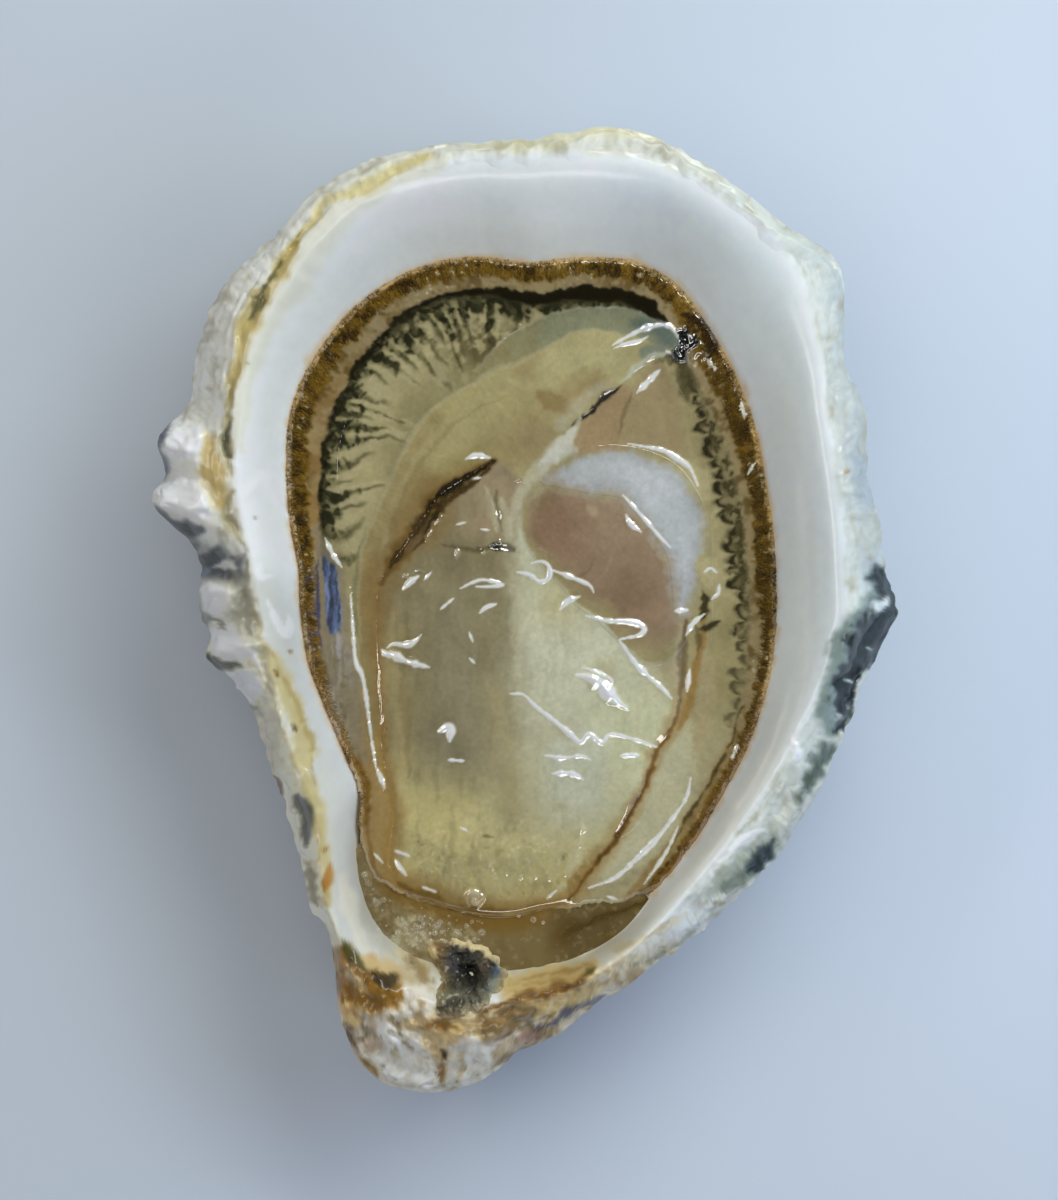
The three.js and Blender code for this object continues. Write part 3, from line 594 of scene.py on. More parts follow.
    # A finely speckled dark line down the lower right.
    s.lay([
        ("line", 0.27, (54, 46, 24), 0.7, 0, 0.9, [22, -9.6, 20.9, -13.2, 19.5, -16.2, 17.7, -18.9,
            15.8, -22.3, 14.2, -24.6]),
        ("line", 0.8, (112, 84, 40), 0.65, 0, 0.5, [24.3, -6.9, 23.3, -10.2, 21.7, -14.7, 18.9, -19.6,
            15.8, -24.5, 12.2, -28.4]),
        # Between muscle, gills and margin: a pinkish fold with a seam, and a plain cream one.
        ("area", 1.1, (146, 124, 92), 0.85, 0.05, 0.3, [4.6, 16.6, 5.4, 19.4, 9.4, 23.2, 10.6, 22.4,
            9.6, 18.2, 10.4, 16.6, 7, 16.4]),
        ("area", 0.8, (146, 131, 98), 0.9, 0, 0.2, [9.8, 17, 10.6, 22.6, 13.2, 25.4, 14.8, 24.4, 15.6, 20,
            16.4, 16.6, 13.4, 16.8]),
        ("line", 0.4, (104, 88, 60), 0.6, -0.02, 0.6, [10.6, 22.6, 9.9, 20.4, 9.3, 18.4]),
        # The black glossy knot where the margin meets the gills' tip.
        ("area", 0.5, (18, 20, 20), 0.97, 0.3, 0.6, [13.8, 27.2, 15, 27.6, 15.8, 28.9, 17, 29, 17.5, 28,
            16.8, 26.7, 15.9, 25.9, 14.8, 26.2]),
        ("line", 1.3, (40, 28, 12), 0.8, 0.1, 0.5, [15.8, 30.6, 17.6, 30, 18.8, 28, 18.6, 25.6]),
        ("area", 0.8, (70, 64, 40), 0.75, 0, 0.4, [15.3, 25.9, 16.6, 25.5, 17.2, 23.4, 16.4, 21.8,
            15.6, 23.6]),
        # The bared strip on the left, grey and clear, with a blue sheen that is a painted reflection.
        ("area", 0.8, (128, 118, 96), 0.85, 0.03, 0.3, [-21.9, 8.8, -20.4, 6.9, -19.2, 4.8, -18.4, 1.6,
            -18, -2, -17.2, -6.4, -16.4, -11, -16, -15, -17.4, -15.4, -20, -9, -21.2, -4, -21.7, 2]),
        ("line", 0.35, (56, 58, 92), 0.8, -0.1, 0.4, [-21.5, 5.6, -21.7, 1.6, -21.3, -3.6]),
        ("line", 0.5, (94, 84, 60), 0.7, 0, 0.9, [-20.9, -5.6, -20.4, -7.4]),
        ("line", 0.5, (94, 84, 60), 0.6, 0, 0.9, [-19.3, -9.4, -18.7, -10.8]),
        # Folds down the left of the body, and the cream lobe on the lower right.
        ("line", 1.3, (150, 124, 78), 0.5, 0.05, 0.2, [-17.2, -8, -16.4, -13, -15.8, -17, -15.3, -21,
            -15.8, -25]),
        ("line", 0.6, (118, 90, 50), 0.6, -0.04, 0.4, [-17.4, -14.6, -16.8, -20, -15.9, -25.6,
            -14.2, -29]),
        ("line", 0.9, (166, 146, 102), 0.6, 0.04, 0.2, [-17.9, -16, -17.3, -21, -16.2, -26.6]),
        ("area", 1.6, (170, 167, 138), 0.9, 0.15, 0.25, [16, -11.4, 17.2, -14, 16.4, -19.2, 14.2, -23.4,
            10.8, -26.4, 6.8, -28, 7.2, -26.4, 9.6, -23, 12.2, -18.4, 14, -13.8]),
        ("area", 1, (158, 146, 112), 0.8, 0.1, 0.3, [18.2, -3, 19, -7, 18.8, -12, 17.4, -14.6, 17.2, -10,
            17.4, -5]),
        ("line", 1.3, (136, 104, 54), 0.7, 0.04, 0.5, [18.2, -0.6, 17.8, -3.4, 17.2, -6.4, 16.6, -9.6,
            15.5, -12]),
        ("line", 0.6, (48, 40, 22), 0.85, -0.05, 0.9, [18, 2.4, 18.3, 0.8, 17.9, -0.8]),
        ("line", 0.5, (44, 38, 24), 0.85, 0, 0.9, [17.6, -1.6, 18.6, -1.5, 19.8, -0.8]),
        ("line", 0.5, (82, 72, 48), 0.6, 0, 0.9, [16.9, -0.4, 17.5, -2.4, 17.4, -4.6]),
    ])
    # Painted reflection: a blue sheen on the wet bared strip, streaked lighter and darker, with lilac
    # streaks under it and purple-blue blotches in the fringe beside it.
    painted_sheen = s.depth([(-21, 5.6), (-19.9, 4.9), (-19.2, 3), (-19.1, -1.4), (-19.6, -2.2), (-20.5, -1.8),
                     (-20.8, 1)], 2)
    painted_sheen = ease(painted_sheen + 0.22 * noise(x * 3, y * 0.35, 0.8, 36, 2), -0.1, 0.15)
    streak = noise(x * 3.4, y * 0.3, 0.9, 37, 3)
    s.wash((84, 100, 136), 0.92 * painted_sheen)
    s.wash((134, 150, 190), 0.75 * painted_sheen * ease(streak, 0.1, 0.5))
    s.wash((48, 50, 60), 0.8 * painted_sheen * ease(streak, -0.15, -0.5))
    s.wash((170, 172, 190), 0.55 * hump((x + 19.7) / 0.7, 0, 1) * ease(y, -1.6, -2.6) * ease(y, -5.4, -4.2)
           * ease(streak, -0.5, 0.3))
    s.wash((84, 78, 96), 0.7 * hump((x + 22.2 + 0.1 * y) / 0.55, 0, 1) * ease(y, -6, -3) * ease(y, 6, 4)
           * ease(noise(x, y, 0.7, 40, 2), 0, 0.4))
    # Lilac-grey streaks carry the painted reflection down the strip; the darker speckles are its own
    # colour.
    grey = hump((x + 19.3 - 0.08 * (y + 8)) / 0.9, 0, 1.1) * ease(y, -3, -5) * ease(y, -15, -12)
    s.wash((158, 156, 162), 0.6 * grey * ease(streak, -0.3, 0.5))
    s.wash((98, 88, 66), 0.5 * grey * ease(noise(x, y, 0.5, 38, 2), 0.3, 0.7))
    s.relief += fringe * (0.03 * fibre + 0.04 * noise(x, y, 0.9, 31, 2))
    s.relief += 0.35 * spot(x, y, 15.8, 27.4, 2.4) * noise(x, y, 1, 41, 2)
    s.relief += top * 0.02 * np.cos(phase * np.pi) * ease(depth, inner, inner + 1) * ease(depth, 10, 6)


def paint_gills(s, meat_sheet):
    """Pale ribbed leaves under a clear grey flap."""
    x, y = s.x, s.y
    s.colour[:] = (156, 147, 104)
    s.wash((128, 112, 68), 0.9 * ease(meat_sheet.body, -3.4, -0.4) * ease(x, 0, -8))
    s.wash((136, 122, 84), 0.6 * ease(x, -7, -14))
    s.wash((138, 122, 88), 0.8 * spot(x, y, 0.6, 17.6, 3.2, wide=1.4))
    s.wash((166, 158, 118), 0.75 * spot(x, y, 5, 26, 3.4, wide=2))
    leaf = [
        (-17.2, -3), (-17.3, 2.6), (-16.9, 7), (-15.4, 11), (-14, 14.4), (-12.4, 17.4),
        (-10.6, 20.2), (-8.4, 22), (-6.2, 23.2), (-3.8, 24.7), (-1.2, 25.6), (1.4, 27),
        (4, 28.4), (7.1, 29.1), (10.4, 28.6), (12.8, 27.8),
    ]
    p = s.depth(leaf + [(14.6, 26.8), (8, 20), (0, 10), (-12, 2), (-14.6, -6)], 2)
    outside = ease(p, 0.1, -0.15) * ease(y, -6, 4)
    s.wash((128, 124, 92), 0.8 * outside)
    s.wash((124, 127, 101), 0.8 * outside * ease(x, -3, 3) * ease(y, 20, 26))
    s.wash((112, 112, 84), 0.5 * outside * ease(meat_sheet.gills, 0.9, 0)
           * ease(noise(x, y, 1.6, 36, 2), -0.3, 0.5))
    s.wash((122, 104, 66), 0.35 * ease(noise(x, y, 3.4, 35, 3), 0.05, 0.8))
    s.lay([
        ("line", 0.6, (160, 152, 116), 0.65, 0.015, 0.2, leaf),
        ("line", 0.6, (154, 145, 106), 0.5, 0.015, 0.2, [-15.6, -4, -15.4, 2, -14.9, 5.7, -14, 10.6,
            -11.3, 16.2, -7, 20.6, -2.6, 23.1, 3, 25.8]),
        ("line", 0.4, (128, 118, 78), 0.4, -0.01, 0.1, [-14.7, 5.9, -13.5, 10.4, -10.8, 15.6, -6.6, 20,
            -2, 22.4]),
        ("line", 0.4, (160, 162, 142), 0.6, 0.02, 0.2, GILL_RIM[11:]),
        ("area", 1.2, (86, 98, 92), 0.8, 0, 0.2, [10.6, 29.4, 13, 28.6, 14.4, 27.4, 15.6, 28, 14.2, 29.6,
            12, 30.4]),
        ("area", 0.8, (104, 116, 108), 0.7, 0, 0.2, [12.2, 26.2, 14.4, 27, 13.4, 27.8, 11.6, 27]),
        ("line", 0.8, (172, 176, 166), 0.7, 0.08, 0.4, [9.6, 23.9, 11.4, 25.2, 13.2, 26.3, 14.6, 26.9]),
        ("area", 0.7, (130, 110, 70), 0.7, 0, 0.25, [0.8, 22.5, 2, 22.9, 3.8, 22.2, 4.6, 20.9, 3.6, 20.3,
            1.8, 20.9]),
        ("area", 0.6, (152, 140, 98), 0.5, 0, 0.1, [-1.6, 23, 0.4, 22.8, 0.8, 20.6, -0.8, 19.2, -2, 20.8]),
        ("area", 1.6, (140, 118, 76), 0.5, 0, 0.3, [4.2, 22.4, 6.6, 24.2, 8.4, 23.4, 6, 21.2]),
        ("area", 1.4, (172, 170, 152), 0.5, 0.1, 0.3, [3.6, 18.9, 6.2, 21.2, 8.6, 23.2, 7.2, 23.6,
            4.4, 21.4, 2.8, 19.4]),
    ])
    # Fine ribs across the leaves.
    arc = s.nearest(smooth(GILL_RIM), 12)[1]
    ribs = np.sin(arc * 2 * np.pi / RIB_PITCH + 1.5 * noise(x, y, 4, 33))
    s.colour *= (1 + 0.018 * ribs * ease(y, -4, 3))[..., None]
    s.relief += 0.003 * ribs - 0.08 * ease(p, 1.2, -1.2) + 0.04 * noise(x, y, 4, 34, 2)


def paint_body(s, meat_sheet):
    """A translucent grey-olive left half and a creamy right one under a wet film."""
    x, y = s.x, s.y
    coarse, wisp = noise(x, y, 5, 41, 3), noise(x * 2.2, y * 0.6, 2.2, 42, 3)
    s.colour[:] = (132, 124, 94)
    s.wash((122, 112, 84), 0.6 * ease(y, 2, 6) * ease(y, 9, 6.5))
    s.wash((146, 130, 104), 0.85 * ease(y, 6.4, 9.4) * ease(x, -9, -5))
    s.wash((122, 112, 86), 0.5 * ease(coarse, 0.1, 0.8) * ease(y, 8, 2))
    s.wash((134, 129, 106), 0.6 * spot(x, y, -7.2, -6, 3.4, 0.8, 2.4))
    s.wash((116, 111, 90), 0.65 * spot(x, y, -8.6, -16.4, 3.9, 0.9, 1.2))
    s.wash((152, 140, 96), 0.5 * ease(x, -10.5, -13) * ease(y, 2, -3))
    s.wash((128, 122, 98), 0.35 * ease(wisp, 0, 0.8) * ease(y, 4, 0))
    warm = ease(y + 0.25 * x, -15, -23)
    s.wash((186, 176, 124), 0.9 * warm)
    # The cream half, cut sharply on its left near the muscle and fading lower down.
    blur = mix(mix(0.7, 2.2, ease(y, 7, 2)), 4.6, ease(y, 2, -12))
    line = -1.15 - 0.22 * ease(y, 4, -14) * (4 - y) * 0.4
    cream = ease(x - line + 0.25 * noise(x, y, 1.8, 43, 2), -blur, blur) * ease(y, 11.6, 8.5)
    cream = cream * mix(1, 0.75, ease(y, -16, -26))
    s.wash((170, 168, 138), 0.95 * cream * ease(y, -28, -18))
    s.wash((194, 195, 172), 0.85 * cream * spot(x, y, 3.4, -5.4, 6, 1.5, 1.4))
    s.wash((192, 194, 172), 0.5 * cream * hump(x + 0.1 + 0.04 * y, 0, 1.3) * ease(y, -10, 2))
    s.wash((176, 166, 120), 0.55 * cream * spot(x, y, 3, 1, 2.2))
    s.wash((182, 183, 150), 0.75 * ease(x, 4, 9) * ease(y, -6, -11) * ease(y, -25, -16))
    s.wash((182, 186, 170), 0.6 * ease(x, 0.5, 3.5) * ease(x, 9, 6.5) * ease(y, -10, -14)
           * ease(y, -25, -18))
    s.wash((150, 138, 100), 0.6 * hump(x + 4.4 + 0.14 * y, 0, 1.6) * ease(y, -4, -10) * ease(y, -26, -20))
    s.wash((166, 158, 112), 0.6 * ease(coarse, 0.1, 0.9) * warm)
    # Curdled bumps near the hinge end.
    bumps, curd = hump(np.hypot(x + 2.6, (y + 24.2) * 1.2), 0, 4.2), noise(x, y, 0.8, 44, 3)
    s.wash((192, 184, 142), 0.55 * bumps * ease(curd, 0.15, 0.8))
    s.wash((140, 130, 82), 0.55 * bumps * ease(curd, -0.3, -0.9))
    s.wash((206, 200, 168), 0.7 * ease(noise(x, y, 0.35, 45, 2), 0.7, 0.95) * ease(y, -19, -24)
           * ease(np.abs(x + 4), 9, 5))
    s.wash((150, 116, 58), 0.8 * ease(meat_sheet.mound, 2, 0.4) * ease(y, -24, -28))
    s.wash((168, 150, 98), 0.5 * ease(meat_sheet.mound, 3.6, 2) * ease(y, -24, -28))
    s.lay([
        ("line", 1.4, (158, 144, 100), 0.5, 0.03, 0.3, [-13.9, 1, -14.1, -8, -13.5, -17, -12.9, -25]),
        ("line", 1.1, (118, 104, 70), 0.35, 0, 0.3, [-12.4, 0, -12.6, -8, -12.2, -17]),
        ("line", 0.5, (84, 74, 48), 0.6, -0.1, 0.5, [-9, 7.1, -6.6, 6.5, -4.6, 6.6, -3.2, 7]),
        ("line", 1, (28, 28, 18), 0.92, -0.25, 0.7, [-3.8, 6.8, -2.6, 6.9, -1.4, 6.6]),
        ("line", 0.5, (60, 54, 34), 0.8, -0.1, 0.7, [-4.6, 6.5, -5.2, 7]),
        ("line", 0.7, (168, 162, 132), 0.8, 0.2, 0.3, [-7, 6.6, -7.2, 5.6]),
        ("line", 0.6, (164, 158, 128), 0.8, 0.2, 0.3, [-4.5, 6.6, -4.6, 5.9]),
        ("line", 1.5, (166, 162, 134), 0.7, 0.15, 0.3, [-2.6, 11.6, -2.3, 9.6, -1.9, 7.6]),
        ("line", 1, (172, 166, 138), 0.7, 0.1, 0.3, [-4.4, 13, -3.6, 10.6, -3.2, 8.4]),
        ("line", 0.5, (94, 84, 60), 0.6, -0.1, 0.3, [-3.3, 12.6, -2.9, 10.4, -2.6, 8.4]),
        ("line", 0.5, (96, 92, 54), 0.75, 0, 0.6, [-4.7, -22.8, -3.6, -23.1]),
        ("area", 0.5, (190, 184, 156), 0.8, 0.3, 0.1, [-6.4, -28.9, -5.4, -28.5, -4.6, -29.4, -5.2, -30.3,
            -6.2, -29.9]),
        ("line", 2, (178, 174, 148), 0.5, 0.03, 0.4, [-1.7, 9.4, -1.8, 6, -1.2, 2, -0.7, -2.6, -1, -7]),
        ("area", 2.4, (150, 138, 104), 0.65, 0, 0.4, [11.6, -4, 13.4, -3, 16, -5, 15.6, -9, 14.4, -8.4]),
        ("line", 0.8, (186, 182, 150), 0.5, 0.08, 0.8, [5.6, -19, 5.4, -23, 4.4, -26.6, 3, -29]),
    ])
    veins = noise(x * 1.7, y * 0.45, 1.6, 47, 3)
    s.wash((158, 152, 124), 0.22 * ease(veins, 0.1, 0.8))
    s.wash((112, 104, 80), 0.25 * ease(veins, -0.1, -0.8) * (1 - 0.7 * cream))
    s.wash((150, 138, 98), 0.3 * cream * ease(noise(x, y, 3, 48, 3), 0.2, 0.9))
    s.relief += 0.12 * noise(x, y, 6, 46, 2) + 0.03 * bumps * curd
    s.relief += 0.08 * cream * hump(x + 1, 0, 2.2) * ease(y, -10, 0)


def paint_quick(s, meat_sheet):
    """The quick part of the adductor: smooth, pinkish brown and translucent."""
    x, y = s.x, s.y
    s.colour[:] = (137, 117, 95)
    # Soft spots: place, size, colour and strength.
    spots = [
        (2.6, 9, 3, (126, 100, 80), 0.8), (5.4, 7, 2.6, (128, 104, 82), 0.5),
        (8.8, 8.4, 3.4, (146, 128, 104), 0.7), (10.4, 1.8, 3.4, (124, 103, 80), 0.8),
        (7.6, 3.4, 1.6, (144, 124, 100), 0.5), (13.2, 3.8, 1.8, (134, 114, 92), 0.4),
        (1, 12, 1.5, (112, 96, 62), 0.8), (14.8, -3.4, 1.5, (112, 102, 78), 0.8),
        (0.6, 7.6, 1.2, (120, 98, 74), 0.6), (12.4, -3.6, 1.8, (140, 126, 94), 0.7),
    ]
    for x0, y0, size, colour, much in spots:
        s.wash(colour, much * spot(x, y, x0, y0, size))
    s.wash((150, 132, 108), 0.35 * ease(noise(x, y, 2.4, 51, 3), 0.2, 0.9))
    s.wash((162, 158, 146), 0.6 * ease(meat_sheet.quick + 0.5 * noise(x, y, 0.9, 53, 3), 1.6, 0.2)
           * ease(x + y, 8, 13))
    s.wash((120, 100, 80), 0.3 * ease(noise((x + y) * 1.8, (x - y) * 0.4, 1.4, 52, 3), 0.1, 0.8))
    s.wash((160, 150, 116), 0.6 * ease(meat_sheet.quick, 0.9, 0) * ease(x + y, 6, 2))
    s.lay([
        ("area", 0.5, (166, 150, 120), 0.6, 0, 0.1, [6.1, 10.9, 7, 11, 7.3, 10.2, 6.5, 9.9]),
        ("line", 0.8, (76, 68, 52), 0.6, 0, 0.7, [13.4, -4.8, 14.8, -4.2, 15.8, -3.2]),
        ("line", 0.3, (112, 94, 70), 0.5, -0.03, 0.3, [4.6, 3.2, 6.2, 4.4, 7, 5.8]),
        ("line", 0.3, (150, 134, 110), 0.4, 0, 0.3, [6.8, 2.9, 8.4, 4.6, 8.8, 6.4]),
    ])


def paint_catch(s, meat_sheet):
    """The catch part: opaque bluish white, ragged along its inner edge."""
    x, y = s.x, s.y
    s.colour[:] = (154, 156, 156)
    s.wash((152, 158, 158), 0.3 * ease(noise(x, y, 2.2, 61, 2), 0, 0.8))
    s.wash((186, 190, 192), 0.5 * hump(meat_sheet.catch, 2.2, 1.4))
    s.wash((178, 182, 184), 0.4 * ease(noise(x, y, 1.1, 62, 3), 0.1, 0.8))
    s.wash((160, 158, 138), 0.6 * ease(meat_sheet.catch, 1, 0.2) * ease(y, 11, 15) * ease(x, 7, 11))
    s.wash((168, 174, 172), 0.6 * spot(x, y, 14.2, 9.6, 2.2))
    s.relief += 0.012 * noise(x, y, 0.8, 63, 3) + 0.05 * noise(x, y, 2.4, 64, 2)


def paint_seams(s):
    """Lines where the parts meet, the pale strand, and the wet ridges that catch the light."""
    s.lay([
        ("line", 2.4, (144, 118, 72), 0.5, 0, 0.3, BODY_EDGE[8:]),
        ("line", 0.8, (136, 106, 56), 0.55, 0, 0.5, BODY_EDGE[6:]),
        ("line", 3.4, (146, 120, 70), 0.55, 0, 0.3, BODY_EDGE[15:24]),
        ("line", 2, (112, 86, 36), 0.85, 0, 0.4, BODY_EDGE[17:24]),
        ("line", 0.6, (104, 76, 36), 0.8, -0.03, 0.6, BODY_EDGE[23:33]),
        ("line", 0.35, (84, 60, 26), 0.8, 0, 0.8, BODY_EDGE[24:30]),
        ("line", 0.8, (92, 80, 60), 0.7, -0.03, 0.6, BODY_EDGE[32:]),
        ("line", 3.6, (124, 102, 62), 0.6, 0, 0.6, BODY_EDGE[:11]),
        ("line", 1.7, (98, 74, 36), 0.75, 0, 0.9, BODY_EDGE[:9]),
        ("line", 0.9, (58, 44, 20), 0.85, -0.05, 0.9, BODY_EDGE[:8]),
        ("line", 0.7, (30, 24, 12), 0.9, -0.05, 0.9, BODY_EDGE[:5]),
        ("line", 0.6, (52, 40, 18), 0.8, 0, 0.9, [-3.9, 14.9, -6.4, 12.9, -8.6, 11.2, -10, 9.2, -10.8, 7.4,
            -12, 6.2]),
        ("line", 0.5, (44, 35, 16), 0.8, -0.03, 0.9, [-9, 10.6, -10.4, 9, -10.9, 7.8]),
        ("line", 0.9, (96, 80, 56), 0.6, 0, 0.7, [-10.2, 9.6, -11.4, 7.6, -12.8, 5.8]),
        ("line", 0.6, (40, 37, 28), 0.95, -0.08, 0.6, [4.6, 19.2, 5.7, 20.1, 7.2, 21.3, 8.4, 22.5,
            9.6, 23.5]),
        ("line", 1.6, (168, 163, 138), 0.85, 0.08, 0.3, [-1.4, 9.4, -0.9, 12, 0.9, 14.6, 3.2, 16.9,
            4.7, 18.5, 5.4, 20]),
        ("line", 1.3, (188, 187, 174), 0.8, 0.03, 0.4, [1.2, 15.2, 3.4, 17, 4.8, 18.9]),
        ("area", 0.6, (176, 176, 164), 0.6, 0.05, 0.3, [1.6, 14.2, 3.2, 16, 4.9, 16.4, 4.4, 17.6, 2.4, 16.6,
            1, 15]),
    ])
    s.wander(0.22, 1.6, 81)
    s.wander(0.07, 0.4, 83)
    mottle = 1 + 0.03 * noise(s.x, s.y, 0.45, 85, 2) + 0.035 * noise(s.x, s.y, 2.4, 86, 3)
    s.colour *= (1.03 * mottle + 0.015 * noise(s.x, s.y, 0.2, 87))[..., None]
    for width, points in FILM_RIDGES_AND_GLINTS:
        # Painted highlight: a near-white core along each film ridge, over its raised relief.
        s.stroke(points, 0.62 * width, (244, 244, 238), 0.85, wobble=0.45, soft=0.35)
        s.stroke(points, 0.85 * width, height=0.185 * width, wobble=0.45)
    for count, size, points in BEADS:
        s.beads(points, count, size, count)


# Edges of wet film that stand up a little and catch the light, each also painted near white along its crest
# as a painted highlight: width, points.
FILM_RIDGES_AND_GLINTS = [
    (0.9, [8.7, 27.5, 10.3, 28.4, 12, 29.2, 13.8, 29.6, 14.9, 29.2, 15.5, 28.2]),
    (0.7, [8.9, 27.2, 10, 27.6, 11.4, 27.9, 12.4, 28.4]), (0.9, [11.2, 22.6, 12.3, 23.7, 13.6, 25]),
    (0.8, [10.3, 17.4, 12.6, 17, 14, 16.7, 15.2, 16, 16.5, 15.1, 17.1, 14.1, 17.5, 13.1]),
    (0.8, [-6.4, 15.8, -5.2, 16.2, -3.8, 15.9]), (0.7, [-20.8, 7.7, -20, 6, -19.1, 4.7]),
    (0.7, [-18.2, 1.9, -18, -1.1, -17.7, -4.9, -17, -6.5, -16.5, -9.5, -16.2, -12, -15.6, -16]),
    (1.4, [-14.9, -4.3, -13.9, -4.3, -12.4, -5, -10.1, -5.6]), (1.3, [-15, -3.8, -14.2, -4.6]),
    (0.9, [-14.5, -3.6, -13.7, -3.2, -12.4, -3.3, -11.5, -2.9, -10.9, -2.2]),
    (0.8, [-6.9, 2.5, -5.7, 3.1, -4.5, 3.4, -2.5, 2.9, -3.8, 2.7, -5.3, 2.7]),
    (0.7, [-8.9, 0.4, -7.6, 1.5]), (0.8, [-4.9, 0, -4.2, 0.6, -3.2, 0.9]),
    (0.9, [-1.1, 4.2, 0.2, 3.9, 1.2, 3.2, 2, 3.4, 2.3, 4.1, 2.1, 4.9, 1.4, 5.3, 0.4, 5.1]),
    (0.8, [2.5, 4.4, 3.9, 3.9, 5.4, 3.3, 6.4, 2.8, 6.8, 2.1]), (0.8, [3.3, 0.3, 4.1, 1.2, 5.4, 1.7]),
    (0.9, [6, -0.3, 8.3, -0.8, 10.2, -0.9, 11.5, -1.2, 12, -1.7, 11.4, -2.3, 9.5, -2.7]),
    (0.9, [9.4, -2.8, 10.2, -3.9, 11.1, -5.2, 12.3, -6.4, 13.8, -7.7, 14.8, -8.8]),
    (2, [5, -6.4, 6.3, -6.6, 7.6, -7.4, 8.6, -8.6, 10.2, -9.8]),
    (0.6, [5.6, -5.6, 7, -6, 8.6, -6.9, 8.4, -8]),
    (0.9, [-1.8, -8.3, -0.4, -8.4, 0.7, -9.5, 2.6, -11, 4.1, -12.2, 5.4, -13.3, 6.3, -12.5, 7.6, -13.3,
        8.5, -12.5, 10.6, -12.9, 13.3, -13.8]),
    (1.1, [9.6, -14.7, 11.4, -14.6]), (0.8, [1.8, -14.6, 3.5, -14.9, 5.4, -14.7, 6.5, -15.1]),
    (0.8, [2.4, -16.5, 4.5, -16.5, 5.7, -17.1]), (1.4, [-9.1, -12.2, -8, -11.8, -8, -13.2]),
    (0.9, [-8.1, -15.1, -6.5, -15.2]),
    (0.8, [16.8, -16.9, 16.3, -19.1, 14.8, -21.3, 13.3, -23.2, 10.8, -25.7, 8.9, -27.3, 6.3, -28.3]),
    (0.7, [15.5, -22, 14.5, -24.2, 13.3, -26.1, 12, -27.9]), (0.8, [-13.6, -24.5, -12.2, -25]),
    (0.8, [-13.6, -25.4, -13.1, -26.2, -12.5, -27]), (0.7, [-10.8, -28.2, -9.4, -28.7]),
    (0.7, [-15.8, -24.8, -14.9, -25.7]), (0.8, [9.8, 12.1, 10.8, 11, 12.3, 9.3, 13.6, 7.8, 14.7, 6.7]),
    (0.7, [10.1, 10.1, 10.6, 9.1, 11.7, 8.3]), (0.7, [18.2, 4.2, 18.8, 4.6, 19.5, 4.1]),
    (0.7, [19.7, 2.9, 19.6, 2, 18.9, 1.4]), (0.7, [16.3, -2.3, 17.1, -1, 18.2, -0.1]),
    (0.7, [16.7, -5.8, 16.4, -8.1]), (1.2, [15.2, 0.2, 16.5, 0.3]), (0.8, [-15.5, -16, -14.7, -18]),
    (0.9, [-12.8, 2.4, -12, 3.2, -11.2, 3.8]), (0.7, [-10.6, 3.4, -9.9, 4.2]),
    (0.8, [-5.6, 13.8, -4.8, 13.9]), (0.9, [18.5, 26, 19.4, 24.9]), (0.6, [14.2, 26.9, 14.9, 26.6]),
    (0.6, [16.4, 28.6, 17, 28.2]), (0.6, [-7.3, 9.1, -6.3, 9.3]), (0.6, [-4.8, 8.6, -3.9, 8.5]),
    (0.7, [-6, -2, -5.6, -3]), (0.7, [-6, -4.6, -5.4, -5.2]), (0.9, [21.6, -13.6, 21, -15]),
    (0.7, [8.2, -29.2, 9.2, -29.5]), (0.6, [2, -29.4, 3, -28.5]), (0.7, [-6.9, -22, -6.2, -22.4]),
    (0.8, [21.9, 21.8, 22.3, 20]), (0.8, [23.2, 15.2, 22.6, 14.2]),
]

# Rows of tiny drops: how many, their radius and the line they sit on.
BEADS = [
    (11, 0.20, [-18.3, 2.6, -18.1, -0.6, -17.8, -3.4]),
    (9, 0.22, [-16.2, -10.4, -15.7, -14.6, -14.6, -18.4]), (7, 0.22, [-8.3, 10.6, -9.4, 8.9, -10.4, 7.4]),
    (6, 0.25, [-12.6, 3.6, -10.8, 4.4]), (8, 0.18, [9.6, 10.4, 11.6, 8]), (5, 0.22, [-4.8, 6.8, -3, 7.2]),
    (6, 0.2, [18.3, 26.6, 20, 24]), (12, 0.16, [20.6, 23.6, 23.4, 18.2, 24.4, 12.6]),
    (10, 0.16, [-20.4, 24, -15.6, 30.2, -9.4, 33.8]), (6, 0.2, [2.3, 5.6, 1, 6.6]),
    (7, 0.2, [-3.6, -26.4, 1.4, -27.4, 5.2, -26.6]),
]


# ---------------------------------------------------------------- the valve's surface

